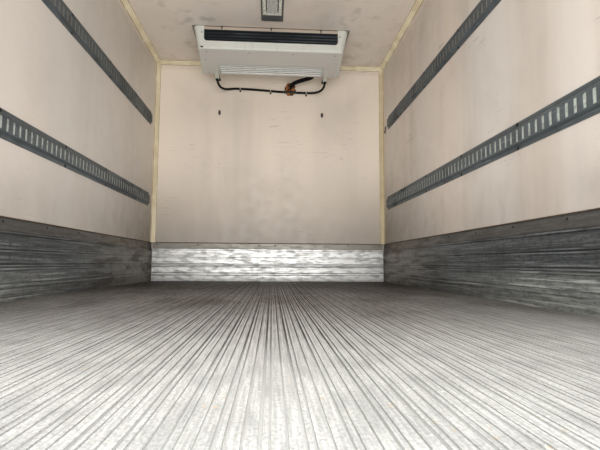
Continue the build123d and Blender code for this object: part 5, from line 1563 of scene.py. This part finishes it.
@dataclass
class EdgeRivets(Fitting):
    """Rivets along the outer cappings and the rear frame."""

    head: float = 0.0055
    height: float = 0.0024
    pitch: float = 0.155
    inset: float = 0.038
    half_row: float = 1.12
    marker_room: float = 0.075

    def build(self) -> None:
        """Add all the rivets as one piece."""
        side_y = spaced(-2.19, 2.28, self.pitch)
        lower_y = [y for y in side_y if all(abs(y - marker) > self.marker_room for marker in MARKER_Y)]
        levels = spaced(Z_PANEL + 0.10, Z_TOP - 0.10, self.pitch)
        across = spaced(-self.half_row, self.half_row, self.pitch)
        low, high, edge = Z_PANEL + self.inset, Z_TOP - self.inset, HALF_OUT - self.inset
        front, top, nose = Y_NOSE + CAPPING, Z_TOP + CAPPING, Y_NOSE - self.inset
        sides = [((HALF_FRAME, y, high), (1, 0, 0)) for y in side_y]
        sides += [((HALF_FRAME, y, low), (1, 0, 0)) for y in lower_y]
        sides += [((edge, y, top), (0, 0, 1)) for y in side_y]
        for z in levels:
            sides += [((HALF_FRAME, nose, z), (1, 0, 0)), ((edge, front, z), (0, 1, 0)),
                      ((HALF_FRAME - 0.022, Y_TAIL, z), (0, -1, 0))]
        ends = [((x, front, low), (0, 1, 0)) for x in across]
        ends += [((x, nose, top), (0, 0, 1)) for x in across]
        ends += [((x, front, high), (0, 1, 0)) for x in across if abs(abs(x) - self.half_row) > 0.06]
        head = self.shop.domed_head(self.head, self.height, 8)
        self.spread(head, mirrored(sides) + ends, "edge_rivets", "capping")


@dataclass
class RearDoor(Fitting):
    """Edge profile, bolts and grip of one rear door, placed as on the closed right door, then folded."""

    side: int
    body: str
    hinge: Triple = (1.245, -2.390, 0.0)
    turn: float = 3 * RIGHT_ANGLE
    edge: float = 0.030
    sheet: float = 0.0012
    leaf_x: Pair = (0.008, 1.140)
    leaf_z: Pair = (0.310, 2.493)
    strap_x: Row = (0.858, 0.940, 1.022, 1.092)
    strap_y: float = Y_TAIL - 0.008
    guide_z: Row = (0.390, 1.030, 1.773, 2.413)
    guide: Triple = (0.028, 0.006, 0.014)
    kick_z: float = 0.673
    rod_x: float = 0.150
    lever_z: float = 1.280
    grip_x: Pair = (0.385, 0.512)
    grip_y: Pair = (-2.3820, -2.3580)
    grip_half: float = 0.018
    ribs: Row = (0.0025, 0.002, 0.010, 0.0135)
    strap_bolt: Pair = (0.0080, 0.0055)
    guide_bolt: Pair = (0.0048, 0.0035)
    rivet: Pair = (0.006, 0.003)
    rivet_row: Triple = (0.075, 1.065, 0.24)

    def build(self) -> None:
        """Dress the door."""
        self.add_profile()
        self.add_bolts()
        self.add_grip()

    def way(self, direction: Triple) -> Triple:
        """Folded direction of one on the closed right door, or its mirror image."""
        moved = Matrix.Rotation(self.turn, 4, "Z") @ Vector(direction)
        return (self.side * moved.x, moved.y, moved.z)

    def point(self, x: float, y: float, z: float) -> Triple:
        """Folded place of a point on the closed right door, or its mirror image.

        Args:
            x: The point's x.
            y: The point's y.
            z: The point's z.

        Returns:
            The place.
        """
        pivot = Vector(self.hinge)
        moved = Matrix.Rotation(self.turn, 4, "Z") @ (Vector((x, y, z)) - pivot) + pivot
        return (self.side * moved.x, moved.y, moved.z)

    def box(self, low: Triple, high: Triple, radius: float) -> Piece:
        """Folded rounded box given on the closed right door."""
        return self.shop.rounded_box(self.point(*low), self.point(*high), radius)

    def add_profile(self) -> None:
        """Add aluminium strips round both faces of the leaf."""
        (x0, x1), (z0, z1) = self.leaf_x, self.leaf_z
        outer_x = x1 - self.edge
        bars = []
        for inner, y0, y1 in ((x0, Y_TAIL - self.sheet, Y_TAIL),
                              (x0 + 0.010, Y_DOORWAY, Y_DOORWAY + self.sheet)):
            inner_x = inner + self.edge
            for (left, right), (low, high) in (((inner, inner_x), (z0, z1)), ((outer_x, x1), (z0, z1)),
                                               ((inner_x, outer_x), (z0, z0 + self.edge)),
                                               ((inner_x, outer_x), (z1 - self.edge, z1))):
                bars.append(self.box((left, y0, low), (right, y1, high), 0.0004))
        self.shop.hand_over(bars, f"{self.body}_edge_profile", "capping", self.body)

    def add_bolts(self) -> None:
        """Add the bolts of the hinge straps and the rod guides, and the rivets of the kick plate."""
        out, inward = self.way((0, -1, 0)), self.way((0, 1, 0))
        places = [(self.point(x, self.strap_y, z), out) for z in HINGE_Z for x in self.strap_x]
        self.spread(self.shop.hex_bolt(*self.strap_bolt), places, f"{self.body}_strap_bolts", "stainless",
                    body=self.body)
        dx, dy, dz = self.guide
        places = [(self.point(self.rod_x + step * dx, Y_TAIL - dy, z + rise * dz), out)
                  for z in self.guide_z for step in SIDES for rise in SIDES]
        self.spread(self.shop.hex_bolt(*self.guide_bolt), places, f"{self.body}_guide_bolts", "stainless",
                    body=self.body)
        places = [(self.point(x, Y_DOORWAY + 0.003, self.kick_z), inward) for x in spaced(*self.rivet_row)]
        self.spread(self.shop.domed_head(*self.rivet), places, f"{self.body}_kick_rivets", "kick_aluminium",
                    body=self.body, finish="dark_metal")

    def add_grip(self) -> None:
        """Add a rubber grip with ribs round it on the lock lever."""
        (x0, x1), (y0, y1), z, half = self.grip_x, self.grip_y, self.lever_z, self.grip_half
        pieces = [self.box((x0, y0 + 0.002, z - half), (x1, y1 - 0.002, z + half), 0.004)]
        thick, rise, inset, pitch = self.ribs
        pieces += [self.box((x - thick, y0, z - half - rise), (x + thick, y1, z + half + rise), 0.0015)
                   for x in spaced(x0 + inset, x1 - inset, pitch)]
        self.shop.hand_over(pieces, f"{self.body}_lever_grip", "black_rubber", self.body)


@dataclass
class RearFrame(Fitting):
    """Bolts of the hinge brackets, and bolted lugs of the dock buffers."""

    bracket_y: Pair = (-2.275, -2.312)
    bracket_step: float = 0.045
    lug: Triple = (0.028, 0.006, 0.050)
    dock_x: Pair = (0.900, 1.130)
    dock_z: float = 0.238
    bracket_bolt: Pair = (0.0056, 0.0035)
    buffer_bolt: Pair = (0.0075, 0.006)

    def build(self) -> None:
        """Add the bolts and lugs."""
        places = [((HALF_FRAME + 0.008, y, z + step * self.bracket_step), (1, 0, 0))
                  for z in HINGE_Z for step in SIDES for y in self.bracket_y]
        bolt = self.shop.hex_bolt(*self.bracket_bolt)
        self.spread(bolt, mirrored(places), "hinge_bracket_bolts", "stainless")
        width, thick, height = self.lug
        y = Y_TAIL - thick
        lugs, spots = [], []
        for side in SIDES:
            for edge, step in zip(self.dock_x, SIDES):
                x = edge + step * width
                lugs.append(self.shop.rounded_box((side * edge, y, self.dock_z - height / 2),
                                                  (side * x, Y_TAIL, self.dock_z + height / 2), 0.0015))
                spots.append(((side * (edge + x) / 2, y, self.dock_z), (0, -1, 0)))
        self.shop.hand_over(lugs, "dock_buffer_lugs", "frame_steel")
        self.spread(self.shop.hex_bolt(*self.buffer_bolt), spots, "dock_buffer_bolts", "stainless")


@dataclass
class NoseUnit(Fitting):
    """Fan shrouds, screws and latches of the condenser unit."""

    screw: float = 0.0065
    shroud_y: Pair = (2.6560, 2.7200)
    shroud_inner: float = 0.189
    fan_x: float = 0.295
    plate_half: Pair = (0.560, 0.198)
    wall: float = 0.004
    latch_x: float = 0.45
    latch_z: float = 0.036
    front_x: Pair = (-0.60, 0.60)
    foot_x: Triple = (-0.30, 0.0, 0.30)
    top_x: Triple = (-0.62, 0.0, 0.62)
    top_y: Pair = (0.035, 0.13)
    foot_z: float = 0.040
    inset: float = 0.055

    def build(self) -> None:
        """Add the shrouds behind the grille, and the cover's screws and latches."""
        self.low, self.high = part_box("condenser_housing")
        self.add_shrouds()
        self.add_screws()
        self.add_latches()

    def add_shrouds(self) -> None:
        """Add a plate with a round duct for each fan."""
        low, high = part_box("condenser_fan_right")
        level = (low.z + high.z) / 2
        y0, y1 = self.shroud_y
        wide, tall = self.plate_half
        plate = self.shop.rounded_box((-wide, y1 - self.wall, level - tall), (wide, y1, level + tall), 0.001)
        ducts = [plate]
        for side in SIDES:
            x = side * self.fan_x
            cutter = self.shop.cylinder(64, self.shroud_inner, 0.1, (x, y1, level),
                                        rotation=(RIGHT_ANGLE, 0, 0))
            self.shop.modify(plate, "BOOLEAN", operation="DIFFERENCE", object=cutter)
            bpy.data.objects.remove(cutter)
            ducts.append(self.shop.sleeve((x, (y0 + y1) / 2, level), (0, -1, 0),
                                          self.shroud_inner + self.wall, self.wall, y1 - y0, 64))
        self.shop.hand_over(ducts, "fan_shrouds", "dark_metal")

    def add_screws(self) -> None:
        """Add the screws of the cover's foot flange, its front and its top."""
        front, low, high = self.high.y, self.low.z, self.high.z
        places = [((x, front, z), (0, 1, 0)) for x in self.front_x
                  for z in (low + self.inset, high - self.inset)]
        places += [((x, front, low + self.foot_z), (0, 1, 0)) for x in self.foot_x]
        places += [((x, y, high), (0, 0, 1)) for x in self.top_x
                   for y in (Y_NOSE + self.top_y[0], front - self.top_y[1])]
        head = self.shop.domed_head(self.screw, 0.003)
        self.spread(head, places, "condenser_screws", "dark_metal", finish="bare_screw")

    def add_latches(self) -> None:
        """Add two rubber draw latches under the front grille."""
        y, z = self.high.y, self.low.z + self.latch_z
        pieces = []
        for x in (-self.latch_x, self.latch_x):
            pieces.append(self.shop.rounded_box((x - 0.022, y - 0.004, z), (x + 0.022, y, z + 0.046), 0.0015))
            pieces.append(self.shop.rounded_box((x - 0.012, y - 0.006, z - 0.004),
                                                (x + 0.012, y + 0.0004, z + 0.034), 0.002))
        self.shop.hand_over(pieces, "condenser_latches", "black_rubber")


@dataclass
class Subframe(Fitting):
    """Bolts that hold the cross bearers on the runners."""

    count: int = 10
    bolt_y: Pair = (-2.225, 2.225)
    bolt_x: float = 0.418
    faces: tuple[tuple[float, int], ...] = ((0.125, 1), (0.114, -1))
    bolt: Pair = (0.0085, 0.006)

    def build(self) -> None:
        """Add a bolt with its nut at each crossing."""
        first, last = self.bolt_y
        places = [((self.bolt_x, first + (last - first) * index / (self.count - 1), z), (0, 0, way))
                  for z, way in self.faces for index in range(self.count)]
        self.spread(self.shop.hex_bolt(*self.bolt), mirrored(places), "bearer_bolts", "frame_steel",
                    finish="bare_screw")


@dataclass
class OutsideLamps(Fitting):
    """Rubber base plates of the marker lamps."""

    end_x: float = 1.120
    end_z: float = 2.546
    side_z: float = 0.220
    half: Pair = (0.053, 0.021)
    thick: float = 0.0025

    def build(self) -> None:
        """Add a base behind each lamp."""
        long, tall = self.half
        bases = []
        for side in SIDES:
            x = side * self.end_x
            for face, way in ((Y_TAIL, -1), (Y_NOSE + CAPPING, 1)):
                bases.append(self.shop.rounded_box(
                    (x - long, face, self.end_z - tall),
                    (x + long, face + way * self.thick, self.end_z + tall), 0.001))
            x = side * (HALF_FRAME + self.thick)
            bases += [self.shop.rounded_box((side * HALF_FRAME, y - long, self.side_z - tall),
                                            (x, y + long, self.side_z + tall), 0.001) for y in MARKER_Y]
        self.shop.hand_over(bases, "marker_bases", "black_rubber")


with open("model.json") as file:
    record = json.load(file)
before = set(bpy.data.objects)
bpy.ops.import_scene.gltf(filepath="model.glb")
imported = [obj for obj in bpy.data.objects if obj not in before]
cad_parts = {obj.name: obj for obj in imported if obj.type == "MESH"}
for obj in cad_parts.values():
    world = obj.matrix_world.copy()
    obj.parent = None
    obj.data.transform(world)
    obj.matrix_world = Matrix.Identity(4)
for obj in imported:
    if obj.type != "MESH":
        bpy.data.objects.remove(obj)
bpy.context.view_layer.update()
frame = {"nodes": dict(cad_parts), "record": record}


def main() -> None:
    """Build the studio and dress the body."""
    logging.basicConfig(level=logging.INFO, format="%(message)s")
    Studio().build()
    shop = Workshop()
    for fitting in (Nodes(shop), LoadRails(shop), KickPlates(shop), WallMarks(shop), CeilingLamp(shop),
                    Evaporator(shop), DrainLines(shop), BulkheadTies(shop), EdgeRivets(shop),
                    RearDoor(shop, 1, "door_right"), RearDoor(shop, -1, "door_left"), RearFrame(shop),
                    NoseUnit(shop), Subframe(shop), OutsideLamps(shop)):
        fitting.build()


if __name__ == "__main__":
    main()
